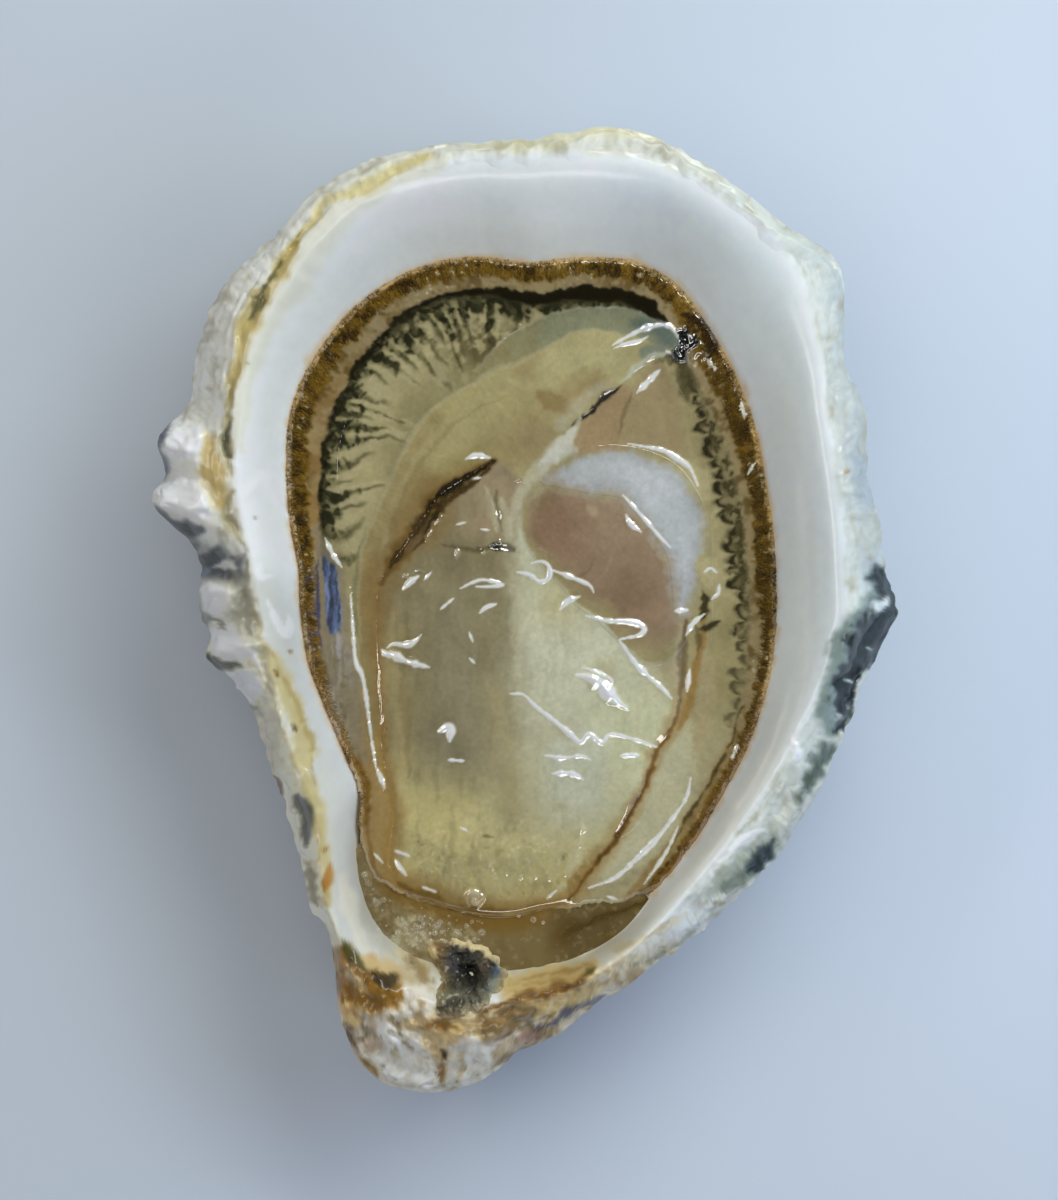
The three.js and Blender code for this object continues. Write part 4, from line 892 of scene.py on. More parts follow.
def shell():
    """The valve's inner face and rim seen from above."""
    if "shell" in SHEETS:
        return SHEETS["shell"]
    s = Sheet(*SHELL_AREA, SHELL_STEP, (214, 219, 219))
    x, y = s.x, s.y
    bearing, radius = polar(x, y)
    b = np.mod(bearing, 360)
    margin, crest, rim = MARGIN_AT(b), CREST_AT(b), OUTLINE_AT(b)
    # Painted light: the right of the inner wall whiter and bluer, to offset the dim, warm light that
    # reaches it.
    s.wash((205, 215, 223), ease(x, 2, 14) * ease(radius, crest + 1, crest - 3))
    s.wash((200, 209, 214), 0.8 * hump(radius - crest, 0, 2.2) * ease(x, 20, 30) * ease(y, 22, 12))
    # Painted shade: the top of the inner wall greyer towards the mantle.
    s.wash((190, 192, 186), 0.6 * ease(radius, margin + 5, margin + 0.5) * hump(b, 95, 45))
    # Painted shade: the inner wall darker along the crest on the left and lower left, deepest right at the
    # crest.
    s.wash((194, 200, 204), 0.8 * ease(b, 165, 185) * ease(b, 262, 250)
           * ease(radius, crest + 1, crest - 1))
    s.wash((186, 188, 180), 0.85 * hump(radius - crest, 0, 2.6) * ease(b, 166, 176) * ease(b, 258, 244))
    # The mantle's stain just outside its edge, and painted shade: the pool's on the wall, and more on the
    # cavity's lower-left wall.
    s.wash((196, 168, 126), 0.6 * ease(radius + 0.1 * noise(x, y, 0.5, 139, 2), margin + 0.5, margin + 0.05)
           * (1 - ease(b, 240, 246) * ease(b, 292, 286)))
    s.wash((150, 144, 124), 0.75 * ease(radius, margin + 1.3, margin + 0.1) * ease(b, 236, 246)
           * ease(b, 292, 282))
    s.wash((176, 180, 178), 0.8 * hump(b, 244, 14) * ease(radius, crest + 1, margin))
    s.wash((146, 146, 136), 0.8 * hump(b, 244, 11) * ease(radius, margin + 2.2, margin + 0.4))
    s.wash((200, 206, 210), 0.35 * ease(noise(x, y, 9, 121, 2), 0, 0.8))
    s.wash((190, 186, 156), 0.5 * ease(radius, margin + 3, margin + 0.5) * hump(b, 266, 22))
    # The flange outside the crest.
    out = ease(radius, crest - 0.3, crest + 0.6)
    left = hump(b, 150, 36)
    s.wash((214, 216, 207), 0.75 * out * left)
    # Painted light: the lobed left flange whiter and warmer, to offset the bluish shade it lies in.
    s.wash((250, 238, 204), 0.85 * out * ease(b, 172, 190) * ease(b, 246, 236))
    s.wash((194, 195, 182), 0.85 * out * hump(b, 85, 30))
    s.wash((184, 192, 186), 0.8 * out * ease(x, 10, 25))
    s.wash((158, 170, 176), 0.65 * out * ease(x, 26, 34) * ease(radius, rim - 4.5, rim - 1.5)
           * ease(y, -4, 4))
    s.wash((212, 210, 186), 0.6 * out * hump(b, 215, 26) * ease(radius, rim - 0.8, rim - 3))
    s.wash((170, 174, 164), 0.5 * out * ease(noise(x, y, 4, 122, 3), 0.1, 0.8) * ease(y, 25, 5))
    s.wash((146, 142, 122), 0.5 * out * ease(noise(x, y, 1.4, 123, 3), 0.35, 0.8))
    s.wash((150, 148, 132), 0.5 * out * ease(radius, rim - 0.9, rim - 0.1)
           * ease(noise(x, y, 1, 124, 2), -0.2, 0.6))
    lines = np.sin((radius - crest) * 6.5 + 2.4 * noise(x, y, 6, 125, 2))
    s.wash((170, 166, 142), 0.35 * out * ease(lines, 0.2, 0.9) * ease(noise(x, y, 5, 126), -0.5, 0.3))
    hinge = ease(y, -33, -36) * ease(radius, crest - 1, crest + 0.2)
    away = np.hypot(x + 6.6, y + 37.4) + 0.8 * noise(x, y, 3, 135, 3)
    s.wash((196, 182, 146), 0.95 * hinge)
    s.wash((150, 122, 72), 0.85 * hinge * ease(noise(x * 0.6 + y * 0.5, y * 1.4, 2, 131, 3), -0.1, 0.5))
    s.wash((222, 214, 190), 0.8 * hinge * ease(noise(x, y, 1.6, 136, 3), 0.15, 0.6))
    s.wash((104, 78, 38), 0.7 * hinge * ease(noise(x + 0.4 * y, y * 1.3, 1.3, 137, 3), 0.3, 0.7)
           * ease(x, 10, 4))
    beside = ease(np.hypot((x + 11) / 1.5, (y + 37.4) / 3) + 0.25 * noise(x, y, 1.6, 119, 2), 1.3, 0.8)
    s.wash((176, 164, 132), 0.85 * beside * ease(noise(x, y, 1.3, 118, 3), -0.3, 0.4))
    s.wash((116, 96, 58), 0.7 * beside * ease(noise(x, y, 0.8, 117, 3), 0.25, 0.65))
    s.wash((208, 205, 192), 0.95 * hinge * ease(away + 2 * noise(x, y, 4.5, 132, 3), 5.5, 7.5)
           * ease(y, -39.5, -42.5) * ease(x, 1, -3))
    s.lay(SHELL_MARKS)
    s.wander(0.3, 2.2, 141)
    s.wander(0.1, 0.6, 143)
    s.wash((112, 98, 56), 0.6 * hinge * ease(noise(x, y, 0.7, 147, 3), 0.35, 0.6) * ease(x, 10, 4)
           * ease(noise(x, y, 4, 148, 2), -0.3, 0.4))
    grit = 1 + (0.05 * out + 0.10 * hinge) * noise(x, y, 0.5, 145, 3) + 0.012 * noise(x, y, 0.8, 146, 3)
    s.colour *= grit[..., None]
    # Relief: growth lines, a ragged skin, soft swells, and the crevice's rounded lip.
    rough = 0.08 * lines * (1 - 0.8 * np.maximum(ease(x, 0, 12), ease(b, 150, 165)))
    rough = rough + 0.16 * noise(x, y, 1.5, 127, 3) + 0.30 * noise(x, y, 4.2, 128, 2)
    s.relief += out * rough * (1 - 0.5 * hinge) * (1 - 0.55 * ease(b, 140, 165) * ease(b, 245, 235))
    s.relief += (0.12 * noise(x, y, 10, 129, 2) * ease(radius, margin + 1, margin + 4) + 0.012
                 * noise(x, y, 1.8, 130, 2))
    ledges = np.mod(0.55 * away + 0.3 * noise(x, y, 2, 138, 2), 1)
    crumbs = (0.05 * noise(x, y, 0.6, 149, 2) + 0.40 * noise(x, y, 2.4, 133, 4) + 0.5
              * noise(x, y, 6, 134, 2))
    s.relief += hinge * (crumbs - 0.3 + 0.35 * ledges) * ease(x, 12, 6)
    # The inner wall swells up to the pool's shore at the hinge end.
    s.relief += (np.maximum(LIQUOR_LEVEL - MARGIN_HEIGHT_AT(b), 0) * hump(radius, margin + 0.8, 2.4)
                 * ease(y, -20, -25))
    SHEETS["shell"] = s
    return s


# Marks on the valve: what, width or softness, colour, strength, height, raggedness, points.
SHELL_MARKS = [
    # The crevice between the inner layer and the outer one: yellowish, with darker olive lines in it,
    # partly its own stain and partly painted shade in its depth.
    ("line", 2.6, (206, 205, 188), 0.7, 0.35, 0.3, [-8.4, 45.6, -12.6, 44, -17.6, 41.4, -20.9, 38.2,
        -24, 33.6, -26.8, 29, -28.2, 24.4, -29.2, 20, -29.2, 16.4]),
    ("line", 1.5, (196, 186, 136), 0.9, -0.75, 0.5, [-9.4, 46.5, -13.5, 44.9, -16.3, 43.3, -18.6, 42.4,
        -20.7, 41.3, -22.1, 39.3, -23.8, 37.2]),
    ("line", 2.2, (176, 160, 100), 0.9, -0.95, 0.5, [-22.6, 38.8, -23.8, 37.2, -25, 34.9, -26.4, 32.9,
        -28.1, 30.3, -28.9, 27.4, -29.5, 24.9, -30.4, 21.5]),
    ("line", 0.9, (84, 80, 48), 0.85, -0.2, 0.8, [-24.8, 35.6, -26.4, 33.4, -27.4, 31.4, -28.4, 29.6]),
    ("line", 1.2, (150, 142, 100), 0.8, -0.6, 0.6, [-30, 23.6, -30.6, 20.4, -30.7, 17.3, -30.1, 14]),
    ("line", 0.8, (84, 84, 66), 0.85, -0.2, 0.7, [-30.4, 19.4, -30.7, 17.2, -30.1, 15]),
    ("area", 1.3, (182, 160, 98), 0.85, -0.2, 0.6, [-32.9, 18.2, -31.8, 17.4, -30.6, 14, -30.4, 11.2,
        -31.6, 11, -33.2, 13.6]),
    ("line", 1.2, (150, 142, 108), 0.8, -0.4, 0.6, [-29.9, 12.6, -30.7, 10.4, -29.7, 8.3, -28.9, 6.8]),
    ("line", 2, (178, 166, 116), 0.85, -0.35, 0.6, [-28.2, 0.6, -27, -3.1, -25.1, -6.7, -23.2, -11.4,
        -22.5, -16.1, -21.3, -20.8, -20.6, -25.5, -20.2, -29.4]),
    ("line", 0.5, (150, 128, 76), 0.6, -0.1, 0.9, [-26.3, -3.6, -24.2, -7.6, -22.4, -12.4, -21.6, -17.6]),
    ("line", 1.5, (204, 201, 170), 0.7, -0.15, 0.5, [-2, 48.2, 4, 48.8, 11, 49, 17, 47.6]),
    ("line", 1, (180, 176, 140), 0.6, -0.2, 0.6, [-6, 47.2, -1, 47.4, 4, 47.6]),
    # The fluted lobes on the left and the dark hollows between them, dark partly from the outer layers' own
    # colour and partly as painted shade under the lobes.
    ("area", 2, (234, 237, 232), 0.9, 1.2, 0.6, [-37, 19.6, -33.6, 19, -33.4, 16.6, -36, 15.4,
        -37.6, 16.4]),
    ("line", 2.8, (66, 72, 88), 0.9, -0.5, 0.5, [-37, 19.4, -38, 17, -37.5, 13.6]),
    ("area", 2, (240, 242, 236), 0.9, 1.3, 0.6, [-38.4, 12.4, -35.6, 13.4, -33, 12.8, -33, 10.8,
        -36, 10.4]),
    ("line", 3, (48, 50, 52), 0.92, -0.8, 0.5, [-38.4, 10.6, -37.3, 9.1, -35.3, 8.5, -33.6, 8.6]),
    ("area", 1.8, (54, 56, 56), 0.95, -1, 0.9, [-35.2, 7.8, -34, 7.1, -31, 6.4, -29.3, 5.7, -29.5, 3.8,
        -31, 3.3, -33.3, 3.8, -34, 1.9, -33.7, -0.4, -32.9, -1.6, -34.4, -0.6, -35, 3.6]),
    # Painted highlight: a blue line in the dark hollow.
    ("line", 0.9, (96, 112, 138), 0.8, 0.1, 0.6, [-34.2, 4.6, -33.1, 4.3, -32.2, 4.6]),
    ("area", 1.8, (240, 240, 234), 0.9, 1, 0.6, [-33.2, 3, -30.4, 2.8, -29.6, 0.4, -31.8, -0.8,
        -33.2, 0.4]),
    ("area", 1.8, (244, 245, 240), 0.9, 1.1, 0.6, [-32.6, -2, -29, -0.8, -27.4, -3, -29.6, -4.6,
        -32.2, -4]),
    ("line", 2.4, (72, 74, 70), 0.9, -0.6, 0.6, [-32.6, -4.5, -31.7, -5.5, -30.4, -5.4, -29.2, -5.4]),
    ("area", 1.6, (240, 241, 232), 0.9, 0.9, 0.6, [-31, -6.4, -28.4, -5.8, -26.6, -7.6, -28.4, -9.2,
        -30.2, -8.4]),
    ("line", 1.9, (112, 116, 104), 0.85, -0.4, 0.6, [-30.2, -8.4, -28.6, -9.6, -27.4, -10.4]),
    ("line", 1.2, (128, 126, 104), 0.7, -0.4, 0.7, [-28.6, 5.4, -28.8, 2, -28.2, -1]),
    ("area", 1, (188, 186, 170), 0.7, 0.4, 0.9, [-28.6, -10.4, -25.6, -10, -24.8, -14.8, -26.6, -16.2]),
    ("line", 1.2, (96, 78, 50), 0.9, -0.3, 0.5, [-26, -17, -25.3, -17.8, -25.2, -19.2]),
    ("line", 2.2, (78, 82, 74), 0.9, -0.3, 0.7, [-23.5, -18.8, -22.6, -20.8, -22.6, -23.6]),
    ("line", 1.1, (118, 112, 86), 0.8, -0.2, 0.7, [-22.6, -25.4, -22.2, -27.6, -21.6, -30.2]),
    # Dark weathered patches on the right, the darkest one with near-white flecks that are painted
    # highlights.
    ("area", 1.2, (100, 118, 112), 0.8, -0.2, 0.6, [35.4, 4.6, 34.2, 1, 32.2, -1.2, 30.6, -4, 29.8, -8,
        30.2, -12, 31.6, -12.6, 33, -6, 36, 0.6]),
    ("area", 0.8, (30, 41, 42), 0.97, -0.5, 0.8, [35.4, 4.3, 37.1, 4, 38.6, 0.6, 37.4, -1.6, 35.6, -4.6,
        33.8, -7.1, 33.4, -10.1, 31.9, -11.9, 31.2, -10.1, 31, -7.5, 32.3, -3.8, 33.8, -1.2, 35.2, 0.6,
        35.6, 2.5]),
    ("area", 0.8, (18, 24, 27), 0.85, -0.2, 0.6, [35.6, -2, 34.4, -4.6, 33, -6.4, 32.6, -8.6, 33.4, -8,
        34.8, -5.2, 36.4, -2.2]),
    # Painted highlights: near-white glints on the darkest patch.
    ("area", 0.4, (206, 214, 214), 0.95, 0.35, 0.5, [35.4, 1.2, 36.9, 1.4, 37.3, 0.4, 36, -0.4,
        35.3, 0.2]),
    ("line", 0.7, (196, 206, 208), 0.95, 0.2, 0.6, [32.3, -6.9, 33.1, -7.2]),
    ("line", 0.6, (186, 196, 198), 0.95, 0.2, 0.6, [31.4, -10.2, 32.1, -10.5]),
    ("line", 0.5, (186, 196, 198), 0.9, 0.2, 0.6, [32.6, -9.5, 33, -9.9]),
    ("line", 0.6, (176, 188, 188), 0.9, 0.2, 0.6, [34.4, -3.3, 35, -3.6]),
    ("area", 1.4, (62, 78, 68), 0.92, -0.3, 0.7, [31.4, -13.2, 31, -15.3, 30, -16.8, 28.6, -18.2,
        27.6, -19.3, 27.5, -17.9, 28.6, -15.6, 30, -14.2]),
    ("area", 1.4, (196, 196, 176), 0.6, 0, 0.5, [27.4, -20, 26.8, -17.6, 25.6, -20.6, 24.6, -22.4,
        25.8, -23]),
    ("area", 1, (150, 158, 142), 0.8, -0.1, 0.5, [24.9, -22.6, 25.8, -23.6, 24.2, -26, 21.6, -28.2,
        18.6, -28.6, 19.8, -26.4, 22.6, -24.2]),
    ("line", 1.3, (108, 120, 110), 0.85, -0.2, 0.7, [24, -25, 22, -27, 19.8, -28.4]),
    ("line", 1.3, (36, 50, 54), 0.92, -0.3, 0.7, [25.3, -23.2, 24.4, -24.6, 23.2, -25.8, 22.2, -26.6]),
    # Sharp folds that shine, on the lobes and on the inner wall, painted near white as painted highlights;
    # the grey-green marks among them are painted shade under the lobes and along the crevice.
    ("line", 0.8, (240, 244, 246), 0.8, 0.2, 0.3, [-36.4, 18.6, -34.6, 16.7, -33.6, 15.4]),
    ("line", 1.6, (118, 122, 110), 0.8, -0.2, 0.8, [-33.4, -0.2, -31.8, -0.8, -30.8, -1.8]),
    ("area", 1.6, (134, 136, 122), 0.75, -0.35, 0.6, [-30.2, 2, -28.6, 1.6, -27.6, -1.4, -28.6, -2.4,
        -30.4, -0.8]),
    ("line", 1.4, (158, 158, 140), 0.6, -0.25, 0.6, [-31.6, 8.6, -30.2, 4.6, -29, 0.4, -27.4, -4,
        -25.6, -8.4]),
    ("line", 0.7, (240, 244, 246), 0.8, 0.17, 0.3, [-37.1, 11.5, -34.8, 11.9, -32.5, 11.8]),
    ("line", 0.8, (238, 244, 248), 0.8, 0.2, 0.4, [-30.4, 15.8, -29.3, 14.2, -29.5, 12.4]),
    ("line", 1.6, (240, 245, 248), 0.8, 0.34, 0.5, [-29.3, 11.4, -28, 12.6, -26.6, 13.8, -26, 12,
        -25, 10.4]),
    ("line", 0.7, (236, 242, 246), 0.7, 0.17, 0.3, [-25.4, 11, -24, 9.6, -22.4, 8.6]),
    ("line", 0.6, (232, 238, 244), 0.7, 0.14, 0.4, [-27.4, 5.2, -27.2, 3.8, -25.9, 4]),
    ("line", 0.7, (236, 242, 246), 0.7, 0.17, 0.5, [-26.4, 1.4, -25.4, -1.4, -24.6, -2.2, -24.6, -0.4]),
    ("line", 0.7, (236, 240, 240), 0.7, 0.17, 0.4, [-31.6, -2.6, -29.6, -3.2, -28, -4.2, -27, -6]),
    ("line", 0.7, (236, 240, 240), 0.7, 0.17, 0.4, [-32, 4.6, -30.6, 4.9, -29.6, 4.6]),
    ("line", 0.7, (238, 242, 242), 0.7, 0.17, 0.5, [19.4, -25.4, 22, -23.2, 24.2, -22.2]),
    ("line", 0.8, (238, 242, 242), 0.7, 0.2, 0.5, [26.8, -12.6, 27.6, -14, 27.2, -15]),
    ("area", 1.2, (146, 158, 166), 0.75, -0.3, 0.4, [33.4, 16.6, 35.3, 14, 35.3, 10.6, 33.8, 11.4,
        33.3, 13.6]),
    ("line", 1.6, (226, 230, 228), 0.8, 0.5, 0.5, [31.2, 36.6, 32.5, 35.3, 32.5, 33.2]),
    ("line", 1.2, (146, 140, 120), 0.8, 0.3, 0.4, [19, -29.8, 20.4, -29.7]),
    # Specks, rust and pinholes.
    ("line", 0.9, (92, 66, 28), 0.9, -0.1, 0.7, [-25.8, -5.9, -25.2, -6.4]),
    ("line", 1, (84, 60, 28), 0.9, -0.1, 0.7, [-23.9, -11.2, -23.4, -11.9]),
    ("line", 0.5, (120, 88, 44), 0.9, 0, 0.4, [-24.5, -4, -24.1, -4.3]),
    ("line", 0.6, (120, 84, 34), 0.9, 0, 0.4, [-20.8, -24, -20.4, -24.3]),
    ("line", 0.9, (158, 110, 44), 0.9, 0, 0.7, [-20.2, -25.7, -20.4, -27.2, -20.6, -28.4]),
    ("line", 0.6, (150, 108, 56), 0.9, 0, 0.4, [32.2, 14.2, 32.7, 14.5]),
    ("line", 0.4, (130, 124, 100), 0.9, 0, 0.3, [-28.5, 25.1, -28.3, 25.4]),
    ("line", 0.4, (120, 120, 110), 0.9, 0, 0.3, [-27.7, 9.7, -27.4, 9.9]),
    ("line", 0.35, (90, 90, 84), 0.9, 0, 0.3, [34.1, 30.9, 34.3, 31.2]),
    ("line", 0.35, (120, 124, 116), 0.9, 0, 0.3, [10.3, 48.8, 10.6, 49]),
    ("line", 0.3, (140, 144, 140), 0.9, 0, 0.3, [17.5, 40, 17.7, 40.1]),
    # The hinge: cavity rim, stains, chalky beak, growth steps.
    ("line", 1.6, (206, 204, 192), 0.8, 0.3, 0.3, [-19, -27, -17.9, -31, -16.9, -34, -15.2, -35.4]),
    ("line", 1.5, (218, 214, 198), 0.9, 0.3, 0.4, [-2.4, -36.2, 1.5, -35.6, 5, -34.6, 9, -32.6]),
    ("area", 1, (150, 112, 54), 0.9, 0, 0.9, [-20.2, -35, -18.6, -33.6, -15.6, -36, -12.4, -36.6,
        -12.6, -40, -16.4, -40.8, -18.6, -40.6, -20.4, -38]),
    ("line", 1.5, (188, 166, 118), 0.9, 0.1, 0.5, [-17, -35.4, -15, -36.3, -12.8, -36.7]),
    ("area", 0.6, (126, 92, 30), 0.9, -0.45, 0.6, [-16, -36.8, -12.9, -37.6, -12.7, -39.8, -16.6, -40.4,
        -18.6, -39.2, -19.6, -36.8, -18.4, -37.6]),
    ("area", 0.5, (48, 38, 14), 0.9, -0.3, 0.6, [-15.8, -36.9, -13.6, -37.2, -13.4, -38.2, -15, -38]),
    ("line", 0.9, (190, 166, 122), 0.9, 0.25, 0.5, [-18.8, -35.8, -17.6, -37.4, -16.4, -38.8]),
    ("line", 1, (72, 70, 32), 0.9, -0.15, 0.7, [-19.2, -33, -18.2, -34.6, -17.3, -35.7, -16.2, -36.6]),
    ("area", 0.8, (198, 168, 116), 0.85, 0, 0.5, [-19.9, -39.8, -17, -40.6, -16.8, -42.6, -18.8, -42.6]),
    ("area", 0.9, (176, 164, 130), 0.85, -0.1, 0.9, [-13.6, -34.6, -10.8, -34.2, -9.6, -36.4, -9.9, -38.6,
        -12.6, -38.2, -12.9, -36.4]),
    ("line", 0.9, (126, 106, 68), 0.75, -0.15, 0.9, [-12.8, -35.4, -11.2, -36.4, -10.3, -38.2]),
    ("area", 0.8, (206, 202, 190), 0.92, 0.3, 0.8, [-12.6, -38.2, -10.4, -38, -9.8, -41.6, -12.6, -42.4,
        -14.6, -41, -12.7, -40]),
    ("line", 0.5, (150, 128, 88), 0.7, -0.15, 0.9, [-11.4, -38.8, -11, -40.4, -11.6, -42]),
    ("line", 0.6, (92, 84, 40), 0.9, -0.1, 0.3, [-11.9, -36, -11.6, -36.6]),
    ("area", 1, (214, 212, 202), 0.95, 0.35, 0.6, [-14.8, -42.2, -12.6, -42.4, -10.2, -45, -9.6, -49,
        -13, -49.6, -16.4, -48, -15.6, -45]),
    ("area", 0.6, (182, 166, 146), 0.9, -0.1, 0.5, [-16.4, -42, -15.2, -42.6, -14.9, -44.6, -16.4, -45.2]),
    ("line", 1.3, (230, 228, 218), 0.95, 0.4, 0.4, [-15.2, -41.8, -14.2, -43.4, -12.4, -45.4]),
    ("area", 0.8, (172, 164, 152), 0.8, 0, 0.6, [-19.1, -42.4, -17.6, -42.6, -17.2, -45.6, -18.4, -45.2]),
    ("line", 0.5, (96, 80, 62), 0.8, -0.2, 0.7, [-18.6, -42.6, -17.9, -43.8, -17.4, -44.8]),
    ("line", 1, (140, 116, 66), 0.85, -0.2, 0.7, [-17.4, -46, -16.2, -46.8, -15.6, -47.8]),
    ("line", 0.5, (88, 78, 62), 0.9, -0.2, 0.6, [-15.1, -46.2, -14.8, -46.8]),
    ("area", 1, (190, 166, 116), 0.85, -0.1, 0.8, [-12.8, -41.6, -9.4, -41, -4.4, -41.4, -4.6, -43.4,
        -7.6, -44.4, -7.9, -46.8, -9.4, -46.2, -10.2, -43.8]),
    ("line", 1, (132, 98, 44), 0.9, -0.3, 0.9, [-11.2, -42.6, -8.6, -42, -6.4, -42.6]),
    ("line", 1.1, (52, 42, 26), 0.95, -0.3, 0.4, [-8.9, -45, -8.4, -45.4]),
    ("line", 0.8, (130, 98, 50), 0.85, -0.3, 0.7, [-8.7, -45.6, -8.8, -47, -8.7, -48.6]),
    ("area", 0.8, (208, 206, 196), 0.9, 0.2, 0.7, [-8, -44.4, -5.4, -43.6, -4.4, -45.4, -6.4, -49,
        -8.2, -48.6]),
    ("line", 0.7, (168, 150, 108), 0.6, -0.15, 0.9, [-7.2, -44.6, -6.8, -46.4, -7.2, -48]),
    # Cream layers and a brown ledge to the right of the ligament.
    ("area", 0.7, (190, 168, 114), 0.92, 0.4, 0.4, [-2.2, -37.6, 1.6, -36.6, 5.4, -36, 7.2, -35.4,
        6.2, -37.4, 2, -38.8, -2.6, -39.8]),
    ("line", 0.3, (150, 118, 62), 0.8, -0.12, 0.5, [-1.8, -37.9, 2.4, -37, 6.6, -35.9]),
    ("line", 0.3, (160, 130, 74), 0.8, -0.12, 0.5, [-2, -38.4, 2.4, -37.6, 6.4, -36.5]),
    ("line", 0.3, (150, 118, 62), 0.8, -0.12, 0.5, [-2, -39, 2.4, -38.1, 6, -37]),
    ("line", 1.1, (104, 72, 28), 0.92, -0.4, 0.9, [-4.4, -40.6, -2.4, -39.9, 0.2, -39.2, 2.4, -38.6,
        4.6, -37.7, 6.4, -36.5]),
    ("line", 0.8, (80, 78, 34), 0.9, -0.1, 0.5, [5.8, -36.7, 6.9, -36.1]),
    ("area", 0.9, (196, 172, 112), 0.9, 0.1, 0.9, [-0.4, -40.4, 3.6, -38.8, 7.2, -37.6, 7.6, -39, 4, -41,
        0.4, -42]),
    ("area", 0.9, (118, 92, 48), 0.8, -0.2, 0.9, [-4.4, -41, -1.2, -40.4, 0.4, -41.2, -1.6, -43.2,
        -4.2, -43.6]),
    ("line", 0.6, (98, 74, 34), 0.85, -0.2, 0.9, [-3.4, -44, -1.4, -43, 0.6, -41.8, 3, -40.8]),
    ("area", 0.8, (186, 168, 140), 0.8, 0.1, 0.9, [-3.8, -44.4, -0.8, -43.4, 1.4, -43.4, 0.6, -45,
        -2.8, -46.6]),
    ("area", 0.5, (142, 112, 98), 0.8, -0.1, 0.8, [-1.2, -43, 1.4, -42.6, 0.8, -43.8, -0.8, -44]),
    ("line", 0.9, (78, 78, 92), 0.92, 0, 0.6, [0.2, -43, 2.8, -41.8, 5.8, -40.2, 8.2, -39]),
    ("line", 0.6, (120, 104, 70), 0.8, 0, 0.8, [-4, -47, -1.6, -45.8, 1.2, -44.6]),
    ("line", 0.5, (96, 82, 48), 0.8, 0, 0.8, [3.4, -39.3, 3.7, -39.4]),
    ("line", 0.7, (120, 122, 98), 0.6, 0, 0.9, [10.2, -36, 13, -35.4, 17.4, -32.6]),
    ("line", 1, (190, 176, 138), 0.6, -0.2, 0.6, [8.6, -34.6, 12, -33, 16, -30.6]),
]


def outside_skin(x, y, z, share):
    """Colour and relief of the rough outside: growth sheets with darker rays."""
    b, radius = polar(x, y)
    b, down = np.mod(b, 360), 1 + 1.3 * z / np.maximum(radius, 4)
    x, y = x * down, y * down
    warp = 0.05 * noise(x, y, 9, 151, 3) + 0.02 * noise(x, y, 2.5, 152, 2)
    sheets = np.mod(radius * down / 3.6 + 13 * warp, 1)
    rays = ease(np.sin(np.radians(b) * 17 + 2.5 * noise(x, y, 14, 153, 2)) + 0.6 * noise(x, y, 4, 154, 2),
                0.5, 1.2)
    colour = layers(
        x, (180, 176, 164),
        ((122, 118, 106), 0.75 * ease(sheets, 0.35, 0)),
        ((208, 205, 194), 0.6 * ease(sheets, 0.5, 1)),
        ((92, 90, 92), 0.55 * rays * ease(noise(x, y, 3, 159, 3), -0.5, 0.4)),
        ((150, 136, 102), 0.5 * ease(noise(x, y, 5, 160, 3), 0.1, 0.7)),
        ((104, 104, 84), 0.5 * ease(noise(x, y, 8, 155, 3), 0.25, 0.8)),
        ((70, 66, 58), 0.5 * ease(noise(x, y, 1.2, 156, 2), 0.5, 0.9)))
    live = ease(share, 0.16, 0.4) * ease(share, 1, 0.97)
    relief = (live * (0.7 * sheets ** 2 - 0.35 + 0.28 * noise(x, y, 1.6, 157, 3) + 0.45
                      * noise(x, y, 6, 158, 2)))
    return colour, relief


# ---------------------------------------------------------------- meshes

def make(name, points, quads, triangles, colour, material):
    """A mesh object from millimetre points, faces and a colour per point."""
    mesh = bpy.data.meshes.new(name)
    points = place(points)
    loops = np.concatenate([quads.ravel(), triangles.ravel()])
    sizes = np.concatenate([np.full(len(quads), 4), np.full(len(triangles), 3)])
    mesh.vertices.add(len(points))
    mesh.vertices.foreach_set("co", points.ravel())
    mesh.loops.add(len(loops))
    mesh.loops.foreach_set("vertex_index", loops)
    mesh.polygons.add(len(sizes))
    mesh.polygons.foreach_set("loop_start", np.concatenate([[0], np.cumsum(sizes)[:-1]]))
    mesh.polygons.foreach_set("use_smooth", np.full(len(sizes), True))
    mesh.update(calc_edges=True)
    mesh.validate()
    layer = mesh.attributes.new("tint", "FLOAT_COLOR", "POINT")
    rgba = np.ones((len(points), 4))
    rgba[:, :3] = albedo(colour)
    layer.data.foreach_set("color", rgba.ravel())
    mesh.materials.append(material)
    piece = bpy.data.objects.new(name, mesh)
    bpy.context.collection.objects.link(piece)
    return piece


def skin(name, rows, colour, material):
    """A closed mesh through rows of points, each row a closed loop, its ends closed by fans."""
    rows = np.asarray(rows, dtype=float)
    count, width, _ = rows.shape
    points, tint = rows.reshape(-1, 3), np.asarray(colour, dtype=float).reshape(-1, 3)
    r, c = np.arange(count - 1)[:, None], np.arange(width)[None, :]
    n = (c + 1) % width
    quads = np.stack([r * width + c, (r + 1) * width + c, (r + 1) * width + n, r * width + n],
                     -1).reshape(-1, 4)
    points = np.vstack([points, rows[0].mean(0), rows[-1].mean(0)])
    tint = np.vstack([tint, tint[:width].mean(0), tint[-width:].mean(0)])
    c, n = np.arange(width), (np.arange(width) + 1) % width
    first, last, base = count * width, count * width + 1, (count - 1) * width
    fans = np.vstack([np.stack([c * 0 + first, c, n], 1), np.stack([c * 0 + last, base + n, base + c], 1)])
    a, b, d, e = (points[quads[:, k]] for k in range(4))
    if (np.cross(a, b) * d).sum() + (np.cross(a, d) * e).sum() < 0:
        quads, fans = quads[:, ::-1], fans[:, ::-1]
    return make(name, points, quads, fans, tint, material)


